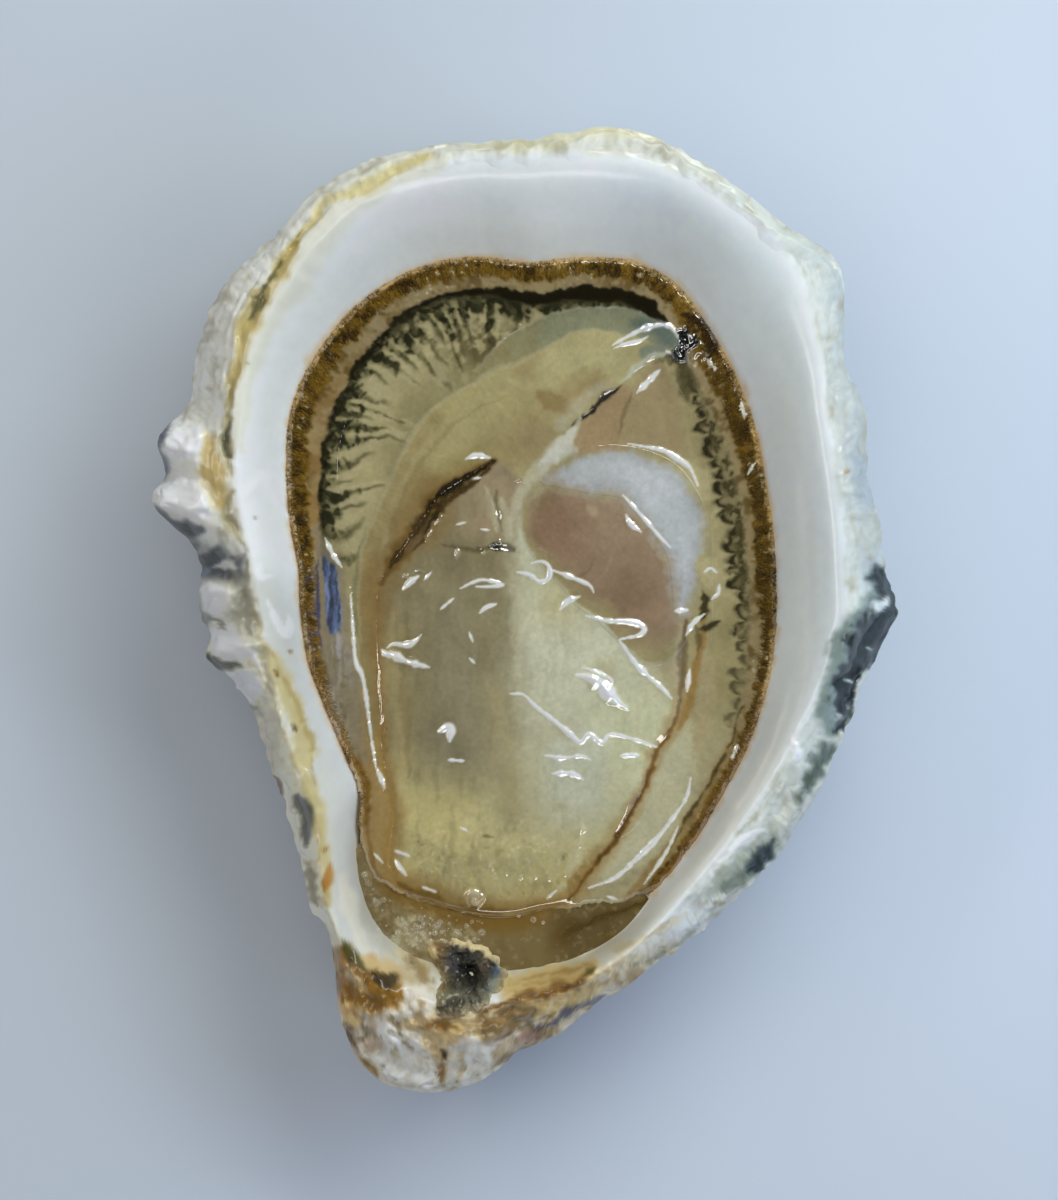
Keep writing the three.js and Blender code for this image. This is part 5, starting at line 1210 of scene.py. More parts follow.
def either(a, b):
    """Depth inside two regions that share an edge, with no gap left along it."""
    return np.maximum(np.maximum(a, b), np.minimum(a, b) + 0.5)


# The step of each draped piece's mesh.
DRAPE_STEP = {
    "mantle_inside": 0.14, "gills": 0.125, "body": 0.115, "quick_muscle": 0.12, "catch_muscle": 0.12,
}


def drape(name, own, material, depth=1.4, flat=None, lift=0.0):
    """A closed piece over the part of the animal where own is above -0.4, sunk outside it.

    Its underside follows at that depth, or closes to the flat point.
    """
    s = meat()
    (left, low), (right, high), step = *MEAT_AREA, DRAPE_STEP[name]
    x, y = np.meshgrid(np.arange(left + 0.5, right - 0.5, step), np.arange(low + 0.5, high - 0.5, step))
    inside = s.at(own, x, y)
    keep = inside > -0.4
    cell = keep[:-1, :-1] & keep[1:, :-1] & keep[:-1, 1:] & keep[1:, 1:]
    used = np.zeros(keep.shape, dtype=bool)
    for at in (np.s_[:-1, :-1], np.s_[1:, :-1], np.s_[:-1, 1:], np.s_[1:, 1:]):
        used[at] |= cell
    count = int(used.sum())
    number = np.zeros(keep.shape, dtype=int)
    number[used] = np.arange(count)
    j, i = np.nonzero(cell)
    quads = np.stack([number[j, i], number[j, i + 1], number[j + 1, i + 1], number[j + 1, i]], -1)
    x, y, inside = x[used], y[used], inside[used]
    z = s.at(s.height, x, y) + lift - 0.5 * ease(inside, -0.08, -0.38)
    top, tint = np.stack([x, y, z], 1), s.at(s.colour, x, y)
    edges = np.concatenate([quads[:, [k, (k + 1) % 4]] for k in range(4)])
    border = edges[~np.isin(edges[:, 0] * count + edges[:, 1], edges[:, 1] * count + edges[:, 0])]
    a, b = border.T
    if flat is None:
        under, fan = top - [0, 0, depth], np.zeros((0, 3), dtype=int)
        quads = np.vstack([quads, quads[:, ::-1] + count, np.stack([b, a, a + count, b + count], 1)])
        return make(name, np.vstack([top, under]), quads, fan, np.vstack([tint, tint]), material)
    ring_points = np.unique(border)
    lower = np.zeros(count, dtype=int)
    lower[ring_points] = count + np.arange(len(ring_points))
    under = np.vstack([top[ring_points], [*flat]])
    under[:, 2] = flat[2]
    quads = np.vstack([quads, np.stack([b, a, lower[a], lower[b]], 1)])
    fan = np.stack([lower[b], lower[a], a * 0 + count + len(ring_points)], 1)
    tint = np.vstack([tint, tint[ring_points], tint[:1]])
    return make(name, np.vstack([top, under]), quads, fan, tint, material)


def finish_piece(piece, node):
    """Says which node a piece stands for. Each node's slot has the node's name."""
    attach(piece, "root")
    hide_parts(node)


# ---------------------------------------------------------------- materials

def link(tree, *rows):
    """Links from rows: a node, its output, the next node, its input."""
    for start, output, end, socket in rows:
        tree.links.new(start.outputs[output], end.inputs[socket])


def sockets(tree, side, **kinds):
    """Named inputs or outputs for a node group."""
    for name, kind in kinds.items():
        tree.interface.new_socket(name, in_out=side, socket_type="NodeSocket" + kind)


def grain_group():
    """A shader group: fine noise as a colour factor round 1 and as a height."""
    name = "fine grain"
    if name in bpy.data.node_groups:
        return bpy.data.node_groups[name]
    tree = bpy.data.node_groups.new(name, "ShaderNodeTree")
    sockets(tree, "INPUT", Scale="Float", Strength="Float", Base="Color")
    sockets(tree, "OUTPUT", Color="Color", Height="Float")
    put = tree.nodes.new
    start, end = put("NodeGroupInput"), put("NodeGroupOutput")
    place_on = put("ShaderNodeTexCoord")
    grain = put("ShaderNodeTexNoise")
    grain.inputs["Detail"].default_value = 4
    spread = put("ShaderNodeMath")
    spread.operation = "SUBTRACT"
    spread.inputs[1].default_value = 0.5
    scaled = put("ShaderNodeMath")
    scaled.operation = "MULTIPLY_ADD"
    scaled.inputs[2].default_value = 1.0
    tinted = put("ShaderNodeVectorMath")
    tinted.operation = "SCALE"
    link(
        tree,
        (place_on, "Object", grain, "Vector"), (start, "Scale", grain, "Scale"),
        (grain, "Fac", spread, 0), (spread, 0, scaled, 0), (start, "Strength", scaled, 1),
        (start, "Base", tinted, 0), (scaled, 0, tinted, "Scale"), (tinted, 0, end, "Color"),
        (grain, "Fac", end, "Height"))
    return tree


def finish(name, roughness, coat=0.0, coat_roughness=0.03, scatter=0.0, scatter_mm=1.0, grain=0.08,
           grain_size=0.6, bump=0.1, ior=1.45, alpha=1.0, coat_ior=1.5):
    """A material whose colour is the piece's own tint with fine grain. Sizes are in millimetres."""
    material = bpy.data.materials.new(name)
    material.use_nodes = True
    tree = material.node_tree
    shader = tree.nodes["Principled BSDF"]
    noise_part = tree.nodes.new("ShaderNodeGroup")
    noise_part.node_tree = grain_group()
    noise_part.inputs["Scale"].default_value = 1000 / grain_size
    noise_part.inputs["Strength"].default_value = grain * 2
    tint = tree.nodes.new("ShaderNodeAttribute")
    tint.attribute_name = "tint"
    link(tree, (tint, "Color", noise_part, "Base"), (noise_part, "Color", shader, "Base Color"))
    if bump:
        bumps = tree.nodes.new("ShaderNodeBump")
        bumps.inputs["Distance"].default_value = bump * 0.001
        link(tree, (noise_part, "Height", bumps, "Height"), (bumps, "Normal", shader, "Normal"))
    settings = {
        "Roughness": roughness, "IOR": ior, "Coat Weight": coat, "Coat Roughness": coat_roughness,
        "Coat IOR": coat_ior, "Alpha": alpha, "Subsurface Weight": scatter,
        "Subsurface Radius": (1.0, 0.75, 0.45), "Subsurface Scale": scatter_mm * 0.001,
    }
    for socket, value in settings.items():
        shader.inputs[socket].default_value = value
    return material


# A film of liquor: a strong clear coat over tissue that hardly mirrors by itself.
WET = dict(coat=1.0, coat_roughness=0.03, coat_ior=2.8, ior=1.15)


def flesh(name, scatter, scatter_mm, roughness=0.35, grain=0.06, grain_size=0.4, bump=0.006):
    """Wet, slightly translucent tissue."""
    return finish(name, roughness, scatter=scatter, scatter_mm=scatter_mm, grain=grain,
                  grain_size=grain_size, bump=bump, **WET)


# ---------------------------------------------------------------- pieces

def rim_radius(bearing):
    """The ragged outer edge."""
    x, y = around(bearing, 40)
    rag = 0.30 * noise(x, y, 2.4, 161, 3) + 0.16 * noise(x, y, 0.9, 162, 2)
    quiet = 1 - 0.6 * hump(np.mod(bearing, 360), 58, 14) - 0.5 * hump(np.mod(bearing, 360), BEAK, 10)
    return OUTLINE_AT(bearing) + rag * quiet - 0.15


def build_valve(context):
    """The lower valve: its inner face and rim, and its rough outside in one closed piece."""
    s = shell()
    material = finish("porcelain shell", 0.3, coat=0.5, coat_roughness=0.16, coat_ior=1.8,
                      scatter=0.12, scatter_mm=1.2, grain=0.03, grain_size=1.2, bump=0.03)
    count = context.scene.oyster_look.valve_columns
    bearing = np.arange(count) * 360 / count
    margin, crest, rim = MARGIN_AT(bearing), CREST_AT(bearing), rim_radius(bearing)
    wall_rows, flange_rows, edge_rows, ledge_rows = 24, 28, 7, 37
    parts = [np.outer([0.3, 0.9], margin), mix(margin * 0.93, crest, np.linspace(0, 1, wall_rows)[:, None]),
             mix(crest, rim, np.linspace(0.04, 1, flange_rows)[:, None])]
    radius = np.concatenate(parts)
    x, y = around(bearing, radius)
    z = cup_height(bearing, np.minimum(radius, OUTLINE_AT(bearing))) + s.at(s.relief, x, y)
    top, colour = np.stack([x, y, z], -1), s.at(s.colour, x, y)
    # The outside, in growth ledges, from the edge down to the flat spot.
    fine = np.linspace(1, 0.06, 160)[:, None]
    slope = cup_height(bearing, fine * rim) - wall_thickness(bearing, fine * rim)
    travel = np.hypot(np.diff(fine * rim, axis=0), np.diff(slope, axis=0))
    path = np.vstack([np.zeros(count), np.cumsum(travel, 0)])
    steps = np.linspace(0, 1, ledge_rows)
    down = np.stack([np.interp(steps, path[:, k] / path[-1, k], fine[:, 0]) for k in range(count)], 1)
    down = np.concatenate([np.ones((edge_rows, count)), down])
    out = down * rim
    base = cup_height(bearing, np.minimum(out, OUTLINE_AT(bearing))) - wall_thickness(bearing, out)
    # The edge's thin wall, slightly hollow and ragged.
    lip = z[-1] - EDGE * 0.9
    base[:edge_rows] = mix(lip, np.minimum(base[edge_rows], lip), np.linspace(0, 0.98, edge_rows)[:, None])
    base[edge_rows] = np.minimum(base[edge_rows], z[-1] - EDGE)
    ragged = noise(np.radians(bearing) * 40, 2.0 * base[1:edge_rows], 1.1, 163, 2)
    out[1:edge_rows] -= 0.25 + 0.25 * ragged
    outer, relief = outside_skin(*around(bearing, out), base, down)
    steep = np.zeros_like(out)
    drop, run = np.diff(base[edge_rows:], axis=0), np.diff(out[edge_rows:], axis=0)
    steep[edge_rows + 1:] = np.clip(drop / np.minimum(run, -1e-4), 0, 6)
    out, relief = out - relief * steep / np.hypot(steep, 1), relief / np.hypot(steep, 1)
    under = np.stack([*around(bearing, out), np.maximum(base + relief, FLAT_SPOT)], -1)
    finish_piece(skin("valve", np.concatenate([top, under]), np.concatenate([colour, outer]), material),
                 "shell")


def build_growth_sheets(context):
    """Thin ragged sheets that stand out round the edge, above and below."""
    s = shell()
    material = finish("flaky shell", 0.42, coat=0.25, coat_roughness=0.15, scatter=0.15, scatter_mm=1.0,
                      grain=0.06, grain_size=0.8, bump=0.06)
    random = np.random.default_rng(7)
    columns = 420
    for n in range(context.scene.oyster_look.growth_sheets):
        outside = n % 3 != 0
        start, span = random.uniform(0, 360), random.uniform(50, 130)
        sink = random.uniform(0.6, 7.5)
        u = np.linspace(0, 1, columns)
        bearing = start + span * u
        cx, cy = around(bearing, 40)
        fade = np.clip(6 * np.minimum(u, 1 - u), 0, 1)
        rag = 0.5 * noise(cx, cy, 3.5, 60 + n, 3) + 0.3 * noise(cx, cy, 1.0, 90 + n, 2)
        rim = rim_radius(bearing)
        outer = rim - (0.85 + 0.55 * sink if outside else 1.35) + (0.6 + rag) * fade
        inner = outer - (1.0 + 2.4 * fade)
        v = np.linspace(0, 1, 9)[:, None]
        radius = mix(inner, np.minimum(outer, rim + 0.5), v)
        base = cup_height(bearing, np.minimum(radius, OUTLINE_AT(bearing)))
        lift = 0.12 + 0.5 * fade * v ** 2 + 0.12 * noise(cx, cy, 2.2, 120 + n, 2)
        if not outside:
            lift = lift - 0.3 * (1 - v)
        x, y = around(bearing, radius)
        if outside:
            z = base - wall_thickness(bearing, radius) - 0.25 - lift
            colour = outside_skin(x, y, z, radius / OUTLINE_AT(bearing))[0]
        else:
            z = base + lift - 0.12 + s.at(s.relief, x, y)
            colour = s.at(s.colour, x, y)
        upper = np.stack([x, y, np.maximum(z, 0.05)], -1)
        lower = upper[::-1].copy()
        lower[..., 2] = np.maximum(lower[..., 2] - (0.28 + 0.1 * v), 0.0)
        rows = np.concatenate([upper, lower]).transpose(1, 0, 2)
        # The undersides take the top's colour 4% darker, as painted shade.
        tint = np.concatenate([colour, colour[::-1] * 0.96]).transpose(1, 0, 2)
        finish_piece(skin(f"growth_sheet_{n:02d}", rows, tint, material), "shell")


def build_mantle(context):
    """The mantle: a fine ring with its fringe bands, and the plainer part inside it."""
    s = meat()
    material = flesh("wet mantle", 0.15, 0.6, grain=0.10, grain_size=0.35)
    count = context.scene.oyster_look.mantle_columns
    bearing = np.arange(count) * 360 / count
    ragged = (0.16 * noise(bearing * 0.55, bearing * 0, 0.5, 171, 2) + 0.12
              * noise(bearing * 0.55, bearing * 0, 2.0, 172))
    edge = MANTLE_EDGE_AT(bearing) + ragged
    inwards = np.concatenate([[7.1], np.linspace(7.0, 5.75, 8), np.linspace(5.6, 0.0, 50),
                              [-0.18, -0.2]])[:, None]
    radius = edge - inwards
    x, y = around(bearing, radius)
    z = (s.at(s.height, x, y) - 0.03 * ease(inwards, 6.2, 7.0) - 0.75
         * (1 - np.sqrt(ease(inwards, -0.4, 0.55))))
    z[0], z[-1] = MANTLE_TURN, MANTLE_FOOT
    z[-2] = np.maximum(cup_height(bearing, radius[-2]) - 0.3, MANTLE_FOOT + 0.1)
    finish_piece(skin("mantle_edge", np.stack([x, y, z], -1), s.at(s.colour, x, y), material), "mantle")
    bearings, radii = polar(s.x, s.y)
    own = np.minimum(MANTLE_EDGE_AT(bearings) - radii - 6.45, -either(s.gills, s.mound))
    finish_piece(drape("mantle_inside", own, material), "mantle")


def build_gills(context):
    """The pale ribbed leaves at the upper left."""
    s = meat()
    material = flesh("wet gills", 0.2, 0.8)
    finish_piece(drape("gills", np.minimum(s.gills, -s.mound), material), "gills")


def build_body(context):
    """The soft body, closed to a flat underside."""
    s = meat()
    material = flesh("wet body", 0.3, 1.6)
    own = np.minimum(s.mound, -either(s.quick, s.catch))
    finish_piece(drape("body", own, material, flat=(0, -8, ROOTS)), "body")


def build_muscle(context):
    """The pinkish quick part and the white crescent of the adductor."""
    s = meat()
    quick = flesh("quick muscle", 0.3, 1.6)
    own = np.minimum(s.quick + 0.25, -s.catch)
    finish_piece(drape("quick_muscle", own, quick, depth=2.0, lift=0.005), "muscle_quick")
    catch = flesh("catch muscle", 0.2, 0.8, roughness=0.4, bump=0.008)
    own = s.catch + 0.25
    finish_piece(drape("catch_muscle", own, catch, depth=2.0, lift=0.01), "muscle_catch")


def build_liquor(context):
    """The pool at the hinge end, clear over pale shell on the left and brown on the right."""
    material = finish("liquor", 0.12, scatter=0.1, grain=0.05, grain_size=0.5, bump=0.02, **WET)
    steps, across = 300, 60
    bearing = np.linspace(293, 234, steps)[:, None]
    radius = mix(MANTLE_EDGE_AT(bearing) - 1.2, MARGIN_AT(bearing) + 0.2,
                 np.linspace(0, 1, across)[None, :])
    x, y = around(bearing, radius)
    s = meat()
    froth = ease(noise(x, y, 0.9, 182, 3), -0.1, 0.5) * ease(np.hypot((x + 10.4) / 1.5, y + 33), 4.2, 2.6)
    fold = y + 33.1 - 0.39 * (x - 3.3) + 0.3 * noise(x, y, 1.5, 186, 2)
    colour = layers(
        x, (122, 107, 70),
        ((100, 86, 54), ease(x, 1, 5)),
        ((150, 138, 104), ease(x, -5, -9.5)),
        ((116, 100, 66), 0.8 * ease(x, -12.6, -14.6)),
        ((186, 182, 150), 0.75 * froth),
        ((112, 96, 60), 0.6 * ease(noise(x, y, 1.4, 183, 3), 0.0, -0.6)),
        ((150, 136, 98), 0.5 * ease(noise(x, y, 0.6, 181, 3), 0.2, 0.7)),
        ((76, 60, 26), 0.8 * hump(fold, 0, 0.5) * ease(x, 2, 5)),
        ((88, 68, 34), 0.5 * ease(noise(x, y, 3.0, 187, 2), 0.1, 0.6) * ease(x, 1, 4)),
        ((120, 92, 40), 0.85 * ease(s.at(s.mound, x, y), -2.6, -0.6) * ease(x, 3.5, 0.5)))
    z = LIQUOR_LEVEL + 0.02 * noise(x, y, 3.0, 184, 2) + 0.12 * noise(x, y, 1.2, 185, 3) * ease(x, -3, -8)
    upper = np.stack([x, y, z], -1)
    lower = upper[:, ::-1].copy()
    lower[..., 2] -= 2.0
    rows, tint = np.concatenate([upper, lower], axis=1), np.concatenate([colour, colour[:, ::-1]], axis=1)
    finish_piece(skin("liquor", rows, tint, material), "liquor")


def build_ligament(context):
    """The black lumpy ligament with a ragged yellow-cream upper edge."""
    material = finish("ligament", 0.55, 0.2, 0.15, grain=0.15, grain_size=0.3, bump=0.12)
    middle = (-6.6, -37.4)
    outline = ring([
        [13, 4.4], [46, 3.7], [87, 3.6], [118, 4.6], [138, 5.6], [152, 3.9], [168, 2.6], [185, 2.3],
        [216, 3.3], [234, 4.3], [273, 3.7], [310, 3.5], [344, 3.8],
    ])
    bearing = np.arange(300) * 1.2
    share = np.linspace(0.03, 1.0, 62)[:, None]
    radius = share * (outline(bearing) + 0.4 * noise(bearing * 0.07, bearing * 0, 1.1, 191, 3))
    x, y = around(bearing, radius)
    x, y = middle[0] + x, middle[1] + y
    lumps, fine = noise(x, y, 1.3, 192, 3), noise(x, y, 0.4, 193, 2)
    below = ease(y + 0.4 * lumps, -38.2, -39.2)
    upper = share + 0.14 * lumps
    colour = layers(
        x, (88, 84, 64),
        ((38, 37, 30), 0.85 * ease(lumps, 0.05, -0.4) * ease(share, 0.95, 0.6)),
        ((40, 40, 36), 0.7 * spot(x, y, -6.4, -36.2, 2.2)),
        ((112, 92, 56), 0.75 * ease(x + 0.5 * lumps, -7.6, -9.0)),
        ((112, 108, 84), 0.8 * ease(lumps, 0.25, 0.7)),
        ((112, 110, 92), 0.7 * below),
        ((176, 176, 156), 0.7 * below * ease(noise(x, y, 0.7, 194, 2), 0.2, 0.6)),
        ((44, 42, 32), 0.7 * below * ease(noise(x, y, 0.9, 195, 2), 0.15, 0.6)),
        ((74, 74, 84), 0.7 * spot(x, y, -7.6, -36.0, 1.0)),
        ((112, 96, 70), 0.7 * spot(x, y, -4.3, -36.2, 1.0)),
        ((50, 80, 122), 0.9 * hump(np.hypot((x + 2.9) * 1.5, y + 36.7), 0, 1.1) * ease(fine, -0.6, 0.1)),
        ((126, 140, 134), 0.8 * spot(x, y, -3.4, -38.2, 0.9)),
        ((8, 8, 7), 0.97 * hump(np.hypot((x + 5.8) * 1.1, y + 36.9 + 0.4 * (x + 5.8)), 0, 1.4)),
        ((92, 60, 28), 0.85 * spot(x, y, -9.9, -34.6, 0.9)),
        ((146, 130, 94), 0.7 * ease(share + 0.3 * lumps, 0.7, 1.0)),
        ((200, 184, 138), 0.9 * ease(upper, 0.66, 0.88) * ease(y, -36.4, -35.0)),
        ((186, 170, 132), 0.5 * ease(upper, 0.9, 1.0) * ease(fine, -0.3, 0.3)),
        ((206, 204, 190), 0.4 * ease(fine, 0.8, 0.95)))
    floor = cup_height(*polar(x, y)) + shell().at(shell().relief, x, y)
    hole = spot(x, y, -5.8, -36.9, 0.9)
    rise = 1 - share ** 3
    lumpy = 0.6 * lumps * (1 - share ** 4)
    z = np.maximum(floor, 15.8) + 0.12 + 1.3 * rise + lumpy + 0.2 * fine * (1 - share ** 6) - 1.6 * hole
    z[-1] = floor[-1] - 0.3
    under = np.stack([x[-1], y[-1], floor[-1] - 1.2], -1)[None]
    rows, tint = np.concatenate([np.stack([x, y, z], -1), under]), np.concatenate([colour, colour[-1:]])
    finish_piece(skin("ligament", rows, tint, material), "ligament")


# ---------------------------------------------------------------- small repeated pieces

def scatter_tree(name):
    """Copies of a small dome on the points of a mesh, sized and turned by its attributes."""
    tree = bpy.data.node_groups.new(name, "GeometryNodeTree")
    tree.is_modifier = True
    sockets(tree, "INPUT", Geometry="Geometry", Length="Float", Width="Float", Sides="Int",
            Material="Material")
    sockets(tree, "OUTPUT", Geometry="Geometry")
    put = tree.nodes.new
    start, end = put("NodeGroupInput"), put("NodeGroupOutput")
    dome = put("GeometryNodeMeshUVSphere")
    dome.inputs["Radius"].default_value = 0.5
    dome.inputs["Rings"].default_value = 4
    copies = put("GeometryNodeInstanceOnPoints")
    size, turn = put("GeometryNodeInputNamedAttribute"), put("GeometryNodeInputNamedAttribute")
    size.data_type, turn.data_type = "FLOAT", "FLOAT_VECTOR"
    size.inputs["Name"].default_value, turn.inputs["Name"].default_value = "size", "turn"
    shape, scaled = put("ShaderNodeCombineXYZ"), put("ShaderNodeVectorMath")
    scaled.operation = "SCALE"
    whole, dressed, smoothed = (put("GeometryNodeRealizeInstances"), put("GeometryNodeSetMaterial"),
                                put("GeometryNodeSetShadeSmooth"))
    link(
        tree,
        (start, "Geometry", copies, "Points"), (start, "Sides", dome, "Segments"),
        (dome, "Mesh", copies, "Instance"), (start, "Width", shape, "X"),
        (start, "Width", shape, "Y"), (start, "Length", shape, "Z"), (shape, 0, scaled, 0),
        (size, "Attribute", scaled, "Scale"), (scaled, 0, copies, "Scale"),
        (turn, "Attribute", copies, "Rotation"), (copies, "Instances", whole, "Geometry"),
        (whole, "Geometry", smoothed, "Geometry"), (smoothed, "Geometry", dressed, "Geometry"),
        (start, "Material", dressed, "Material"), (dressed, "Geometry", end, "Geometry"))
    return tree


def scatter(name, points, sizes, turns, tint, length, width, sides, material, node):
    """Grows copies on points in millimetres and leaves one plain mesh."""
    mesh = bpy.data.meshes.new(name)
    mesh.from_pydata([tuple(p) for p in place(points)], [], [])
    mesh.attributes.new("size", "FLOAT", "POINT").data.foreach_set("value", np.asarray(sizes, dtype=float))
    mesh.attributes.new("turn", "FLOAT_VECTOR", "POINT").data.foreach_set("vector", np.ravel(turns))
    rgba = np.ones((len(points), 4))
    rgba[:, :3] = albedo(tint)
    mesh.attributes.new("tint", "FLOAT_COLOR", "POINT").data.foreach_set("color", rgba.ravel())
    seed = bpy.data.objects.new(name + "_points", mesh)
    bpy.context.collection.objects.link(seed)
    tree = scatter_tree(name)
    modifier = seed.modifiers.new("grow", "NODES")
    modifier.node_group = tree
    inputs = {s.name: s.identifier for s in tree.interface.items_tree if s.in_out == "INPUT"}
    modifier[inputs["Length"]] = length * 0.001
    modifier[inputs["Width"]] = width * 0.001
    modifier[inputs["Sides"]] = sides
    modifier[inputs["Material"]] = material
    bpy.context.view_layer.update()
    grown = bpy.data.meshes.new_from_object(seed.evaluated_get(bpy.context.evaluated_depsgraph_get()))
    seed.modifiers.clear()
    bpy.data.objects.remove(seed)
    if len(grown.polygons) == 0:
        raise RuntimeError(name + " grew nothing")
    grown.name = name
    piece = bpy.data.objects.new(name, grown)
    bpy.context.collection.objects.link(piece)
    finish_piece(piece, node)


def build_fringe(context):
    """Fine feelers on the mantle's outer fold, and golden fibres along its very edge."""
    s = meat()
    material = finish("fringe feelers", 0.5, coat=0.15, coat_roughness=0.1, grain=0.1, grain_size=0.3,
                      bump=0, ior=1.2)
    random = np.random.default_rng(11)
    count = context.scene.oyster_look.feelers
    # Where each kind stands from the edge to the fringe's end, its length and its width.
    kinds = [("fringe_feelers", 0.25, 1.0, 0.62, 0.21), ("edge_fibres", -0.1, 0.2, 0.55, 0.11)]
    for name, first, last, tall, wide in kinds:
        bearing = random.uniform(-66, 232, count)
        width = ring(BANDS, 1)(bearing)
        radius = MARGIN_AT(bearing) - random.uniform(first, last, count) * width
        x, y = around(bearing, radius)
        z = s.at(s.height, x, y) - 0.02 - 0.5 * ease(MARGIN_AT(bearing) - radius, 0.35, -0.1)
        sizes = random.uniform(0.6, 1.3, count) * np.clip(width / 1.8, 0.45, 1)
        turns = np.stack([random.normal(0, 0.25, count), random.uniform(0.7, 1.45, count),
                          np.radians(bearing) + random.normal(0, 0.35, count)], 1)
        tint = s.at(s.colour, x, y) * random.uniform(0.75, 1.05, (count, 1))
        scatter(name, np.stack([x, y, z], 1), sizes, turns, np.clip(tint, 14, 200), tall, wide, 6, material,
                "mantle")


def build_froth(context):
    """Small clear bubbles in the liquor and along the body's lower edge."""
    material = finish("froth", 0.05, grain=0.02, bump=0, alpha=0.22, **WET)
    random = np.random.default_rng(13)
    count = context.scene.oyster_look.bubbles
    bearing = random.uniform(238, 262, count)
    radius = mix(MANTLE_EDGE_AT(bearing) + 0.4, MARGIN_AT(bearing) - 0.6, random.uniform(0, 1, count))
    x, y = around(bearing, radius)
    sizes = 0.18 + 0.75 * random.uniform(0, 1, count) ** 3
    points = np.stack([x, y, LIQUOR_LEVEL + 0.12 * sizes], 1)
    spread = random.normal(0, 1, (count, 2)) * [2.2, 0.9] + [-10.6, -33.0]
    spread = spread[polar(*spread.T)[1] < MARGIN_AT(polar(*spread.T)[0]) - 0.2]
    small = 0.2 + 0.5 * random.uniform(0, 1, len(spread)) ** 2
    points = np.vstack([points, np.column_stack([spread, LIQUOR_LEVEL + 0.2 * small])])
    sizes = np.concatenate([sizes, small])
    more = np.array([(0.6, -31.6, 16.3, 0.7), (1.6, -31.9, 16.3, 0.5), (-0.9, -31.2, 16.4, 0.45),
                     (-5.4, -29.6, 18.0, 0.9)])
    points, sizes = np.vstack([points, more[:, :3]]), np.concatenate([sizes, more[:, 3]])
    tint = np.tile([206, 200, 176], (len(points), 1)).astype(float)
    scatter("froth", points, sizes, np.zeros((len(points), 3)), tint, 0.8, 1.0, 12, material, "liquor")


# ---------------------------------------------------------------- stage

# Lamps in the scene's metres: name, kind, share of that kind's power, position, size, colour.
# The long ones show as glints, and the others don't.
LAMPS = [
    ("ceiling", "ceiling", 1, (-0.122, 0.078, 0.580), (0.45, 0.45), (1.0, 0.97, 0.96)),
    ("near window", "window", 1, (0.097, 0.081, 0.180), (0.12, 0.12), (0.86, 1.0, 1.0)),
    ("side window", "window", 1.2, (0.169, 0.0, 0.141), (0.12, 0.12), (0.55, 0.67, 1.0)),
    ("low light", "low", 1, (0.272, 0.471, 0.254), (0.20, 0.20), (0.97, 1.0, 0.85)),
    ("long lamp right", "long", 1.3, (0.31, 0.54, 0.58), (0.70, 0.14), (1.0, 0.99, 0.97)),
    ("long lamp left", "long", 0.72, (-0.60, 0.16, 0.58), (0.70, 0.14), (1.0, 0.94, 0.89)),
    ("long lamp front", "long", 0.6, (0.22, -0.58, 0.58), (0.70, 0.14), (1.0, 0.99, 0.97)),
]
TABLE_HALF = 3


def build_stage(context):
    """The table, the lights and the camera."""
    look = context.scene.oyster_look
    scene = context.scene
    table = bpy.data.materials.new("pale table")
    table.use_nodes = True
    shader = table.node_tree.nodes["Principled BSDF"]
    shader.inputs["Base Color"].default_value = (*look.table_colour, 1)
    shader.inputs["Roughness"].default_value = 0.6
    mesh = bpy.data.meshes.new("table")
    corners = [(TABLE_HALF * x, TABLE_HALF * y, 0) for x, y in ((-1, -1), (1, -1), (1, 1), (-1, 1))]
    mesh.from_pydata(corners, [], [(0, 1, 2, 3)])
    mesh.materials.append(table)
    floor = bpy.data.objects.new("table", mesh)
    context.collection.objects.link(floor)
    powers = {"ceiling": look.ceiling_power, "window": look.window_power, "low": look.low_power,
              "long": look.glint_power}
    for name, kind, share, position, size, colour in LAMPS:
        lamp(name, position, size, powers[kind] * share, colour, kind == "long")
    scene.world = room(look.sky_strength)
    data = bpy.data.cameras.new("camera")
    data.lens, data.sensor_width = CAMERA_LENS, CAMERA_SENSOR
    data.sensor_fit = "AUTO"
    camera = bpy.data.objects.new("camera", data)
    context.collection.objects.link(camera)
    centre = place(CAMERA_SPOT)
    camera.location = (centre[0], centre[1], CAMERA_HEIGHT)
    scene.camera = camera
    scene.view_settings.view_transform = "Standard"


def room(strength):
    """Even light from all round, dark straight overhead where whoever looks down stands."""
    world = bpy.data.worlds.new("room")
    world.use_nodes = True
    tree = world.node_tree
    background = tree.nodes["Background"]
    where, parts, level = (tree.nodes.new("ShaderNodeTexCoord"), tree.nodes.new("ShaderNodeSeparateXYZ"),
                           tree.nodes.new("ShaderNodeMapRange"))
    level.interpolation_type = "SMOOTHSTEP"
    for socket, value in (("From Min", 0.55), ("From Max", 0.88), ("To Min", strength),
                          ("To Max", 0.04 * strength)):
        level.inputs[socket].default_value = value
    link(tree, (where, "Generated", parts, 0), (parts, "Z", level, "Value"),
         (level, "Result", background, "Strength"))
    background.inputs["Color"].default_value = (0.95, 0.97, 1.0, 1)
    return world


def lamp(name, position, size, power, colour, mirrored):
    """A rectangular lamp that points at the middle of the table."""
    light = bpy.data.lights.new(name, "AREA")
    light.shape = "RECTANGLE"
    light.size, light.size_y = size
    light.energy = power
    light.color = colour
    item = bpy.data.objects.new(name, light)
    bpy.context.collection.objects.link(item)
    item.location = position
    item.visible_camera = False
    item.visible_glossy = mirrored
    item.rotation_euler = (-Vector(position)).to_track_quat("-Z", "Y").to_euler()


# ---------------------------------------------------------------- the add-on

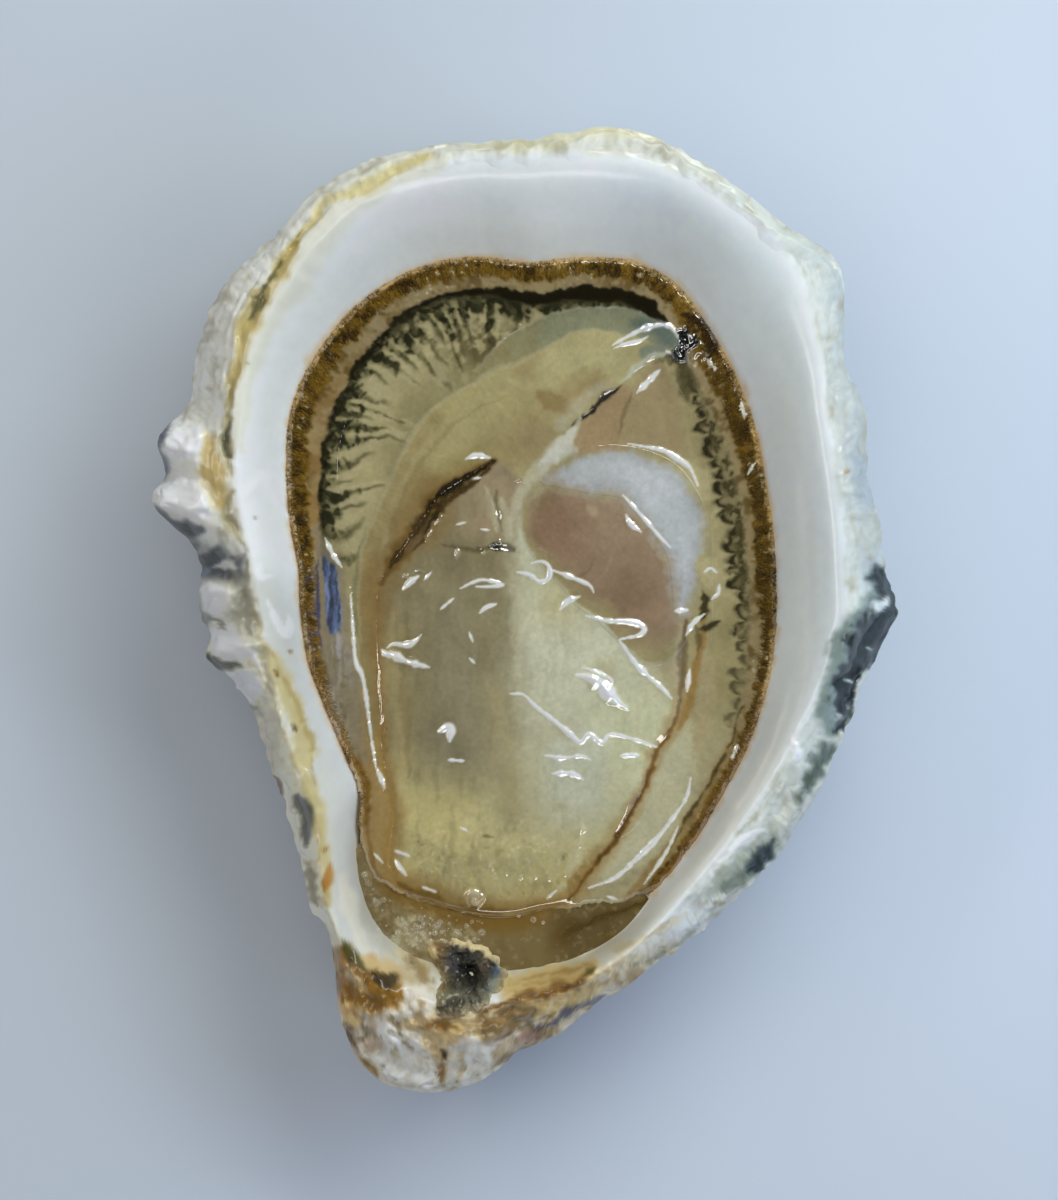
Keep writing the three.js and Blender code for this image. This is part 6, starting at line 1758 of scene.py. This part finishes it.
class OysterLook(bpy.types.PropertyGroup):
    """Sizes, counts and light of the dressed oyster."""

    valve_columns: IntProperty(name="Valve columns", description="Facets round the valve", default=1000,
                               min=90)
    mantle_columns: IntProperty(name="Mantle columns", description="Facets round the mantle", default=1500,
                                min=90)
    growth_sheets: IntProperty(name="Growth sheets", description="Thin shell sheets round the edge",
                               default=24)
    feelers: IntProperty(name="Feelers", description="Feelers on the mantle's edge", default=3800)
    bubbles: IntProperty(name="Bubbles", description="Bubbles in the froth", default=70)
    table_colour: FloatVectorProperty(name="Table", description="Colour of the table", subtype="COLOR",
                                      size=3, default=(0.64, 0.72, 0.82), min=0, max=1)
    ceiling_power: FloatProperty(name="Ceiling", description="Watts of the large soft light", default=0.68,
                                 min=0)
    window_power: FloatProperty(name="Window", description="Watts of the small near light", default=0.11,
                                min=0)
    low_power: FloatProperty(name="Low light", description="Watts of the low light at the back",
                             default=0.4, min=0)
    glint_power: FloatProperty(name="Long lamps", description="Watts of the three long lamps", default=1.4,
                               min=0)
    sky_strength: FloatProperty(name="Sky", description="Strength of the light from all round",
                                default=0.12, min=0)


def operator(build):
    """An operator class that runs one builder and is named after it."""
    name = build.__name__.removeprefix("build_")

    def execute(self, context):
        build(context)
        return {"FINISHED"}

    return type("OYSTER_OT_" + name, (bpy.types.Operator,), {
        "bl_idname": "oyster." + name, "bl_label": name.replace("_", " ").capitalize(),
        "__doc__": build.__doc__, "execute": execute,
    })


OPERATORS = [operator(build) for build in (
    build_valve, build_growth_sheets, build_ligament, build_mantle, build_fringe, build_gills,
    build_body, build_muscle, build_liquor, build_froth, build_stage)]


class OYSTER_PT_panel(bpy.types.Panel):
    """Lists the oyster's settings and builders in the sidebar."""

    bl_label = "Oyster"
    bl_idname = "OYSTER_PT_panel"
    bl_space_type = "VIEW_3D"
    bl_region_type = "UI"
    bl_category = "Oyster"

    def draw(self, context):
        look = context.scene.oyster_look
        for name in OysterLook.__annotations__:
            self.layout.prop(look, name)
        for kind in OPERATORS:
            self.layout.operator(kind.bl_idname)


CLASSES = [OysterLook, *OPERATORS, OYSTER_PT_panel]


def register():
    for kind in CLASSES:
        bpy.utils.register_class(kind)
    bpy.types.Scene.oyster_look = PointerProperty(type=OysterLook)


def unregister():
    del bpy.types.Scene.oyster_look
    for kind in reversed(CLASSES):
        bpy.utils.unregister_class(kind)


def main():
    register()
    for kind in OPERATORS:
        group, name = kind.bl_idname.split(".")
        getattr(getattr(bpy.ops, group), name)()


if __name__ == "__main__":
    main()
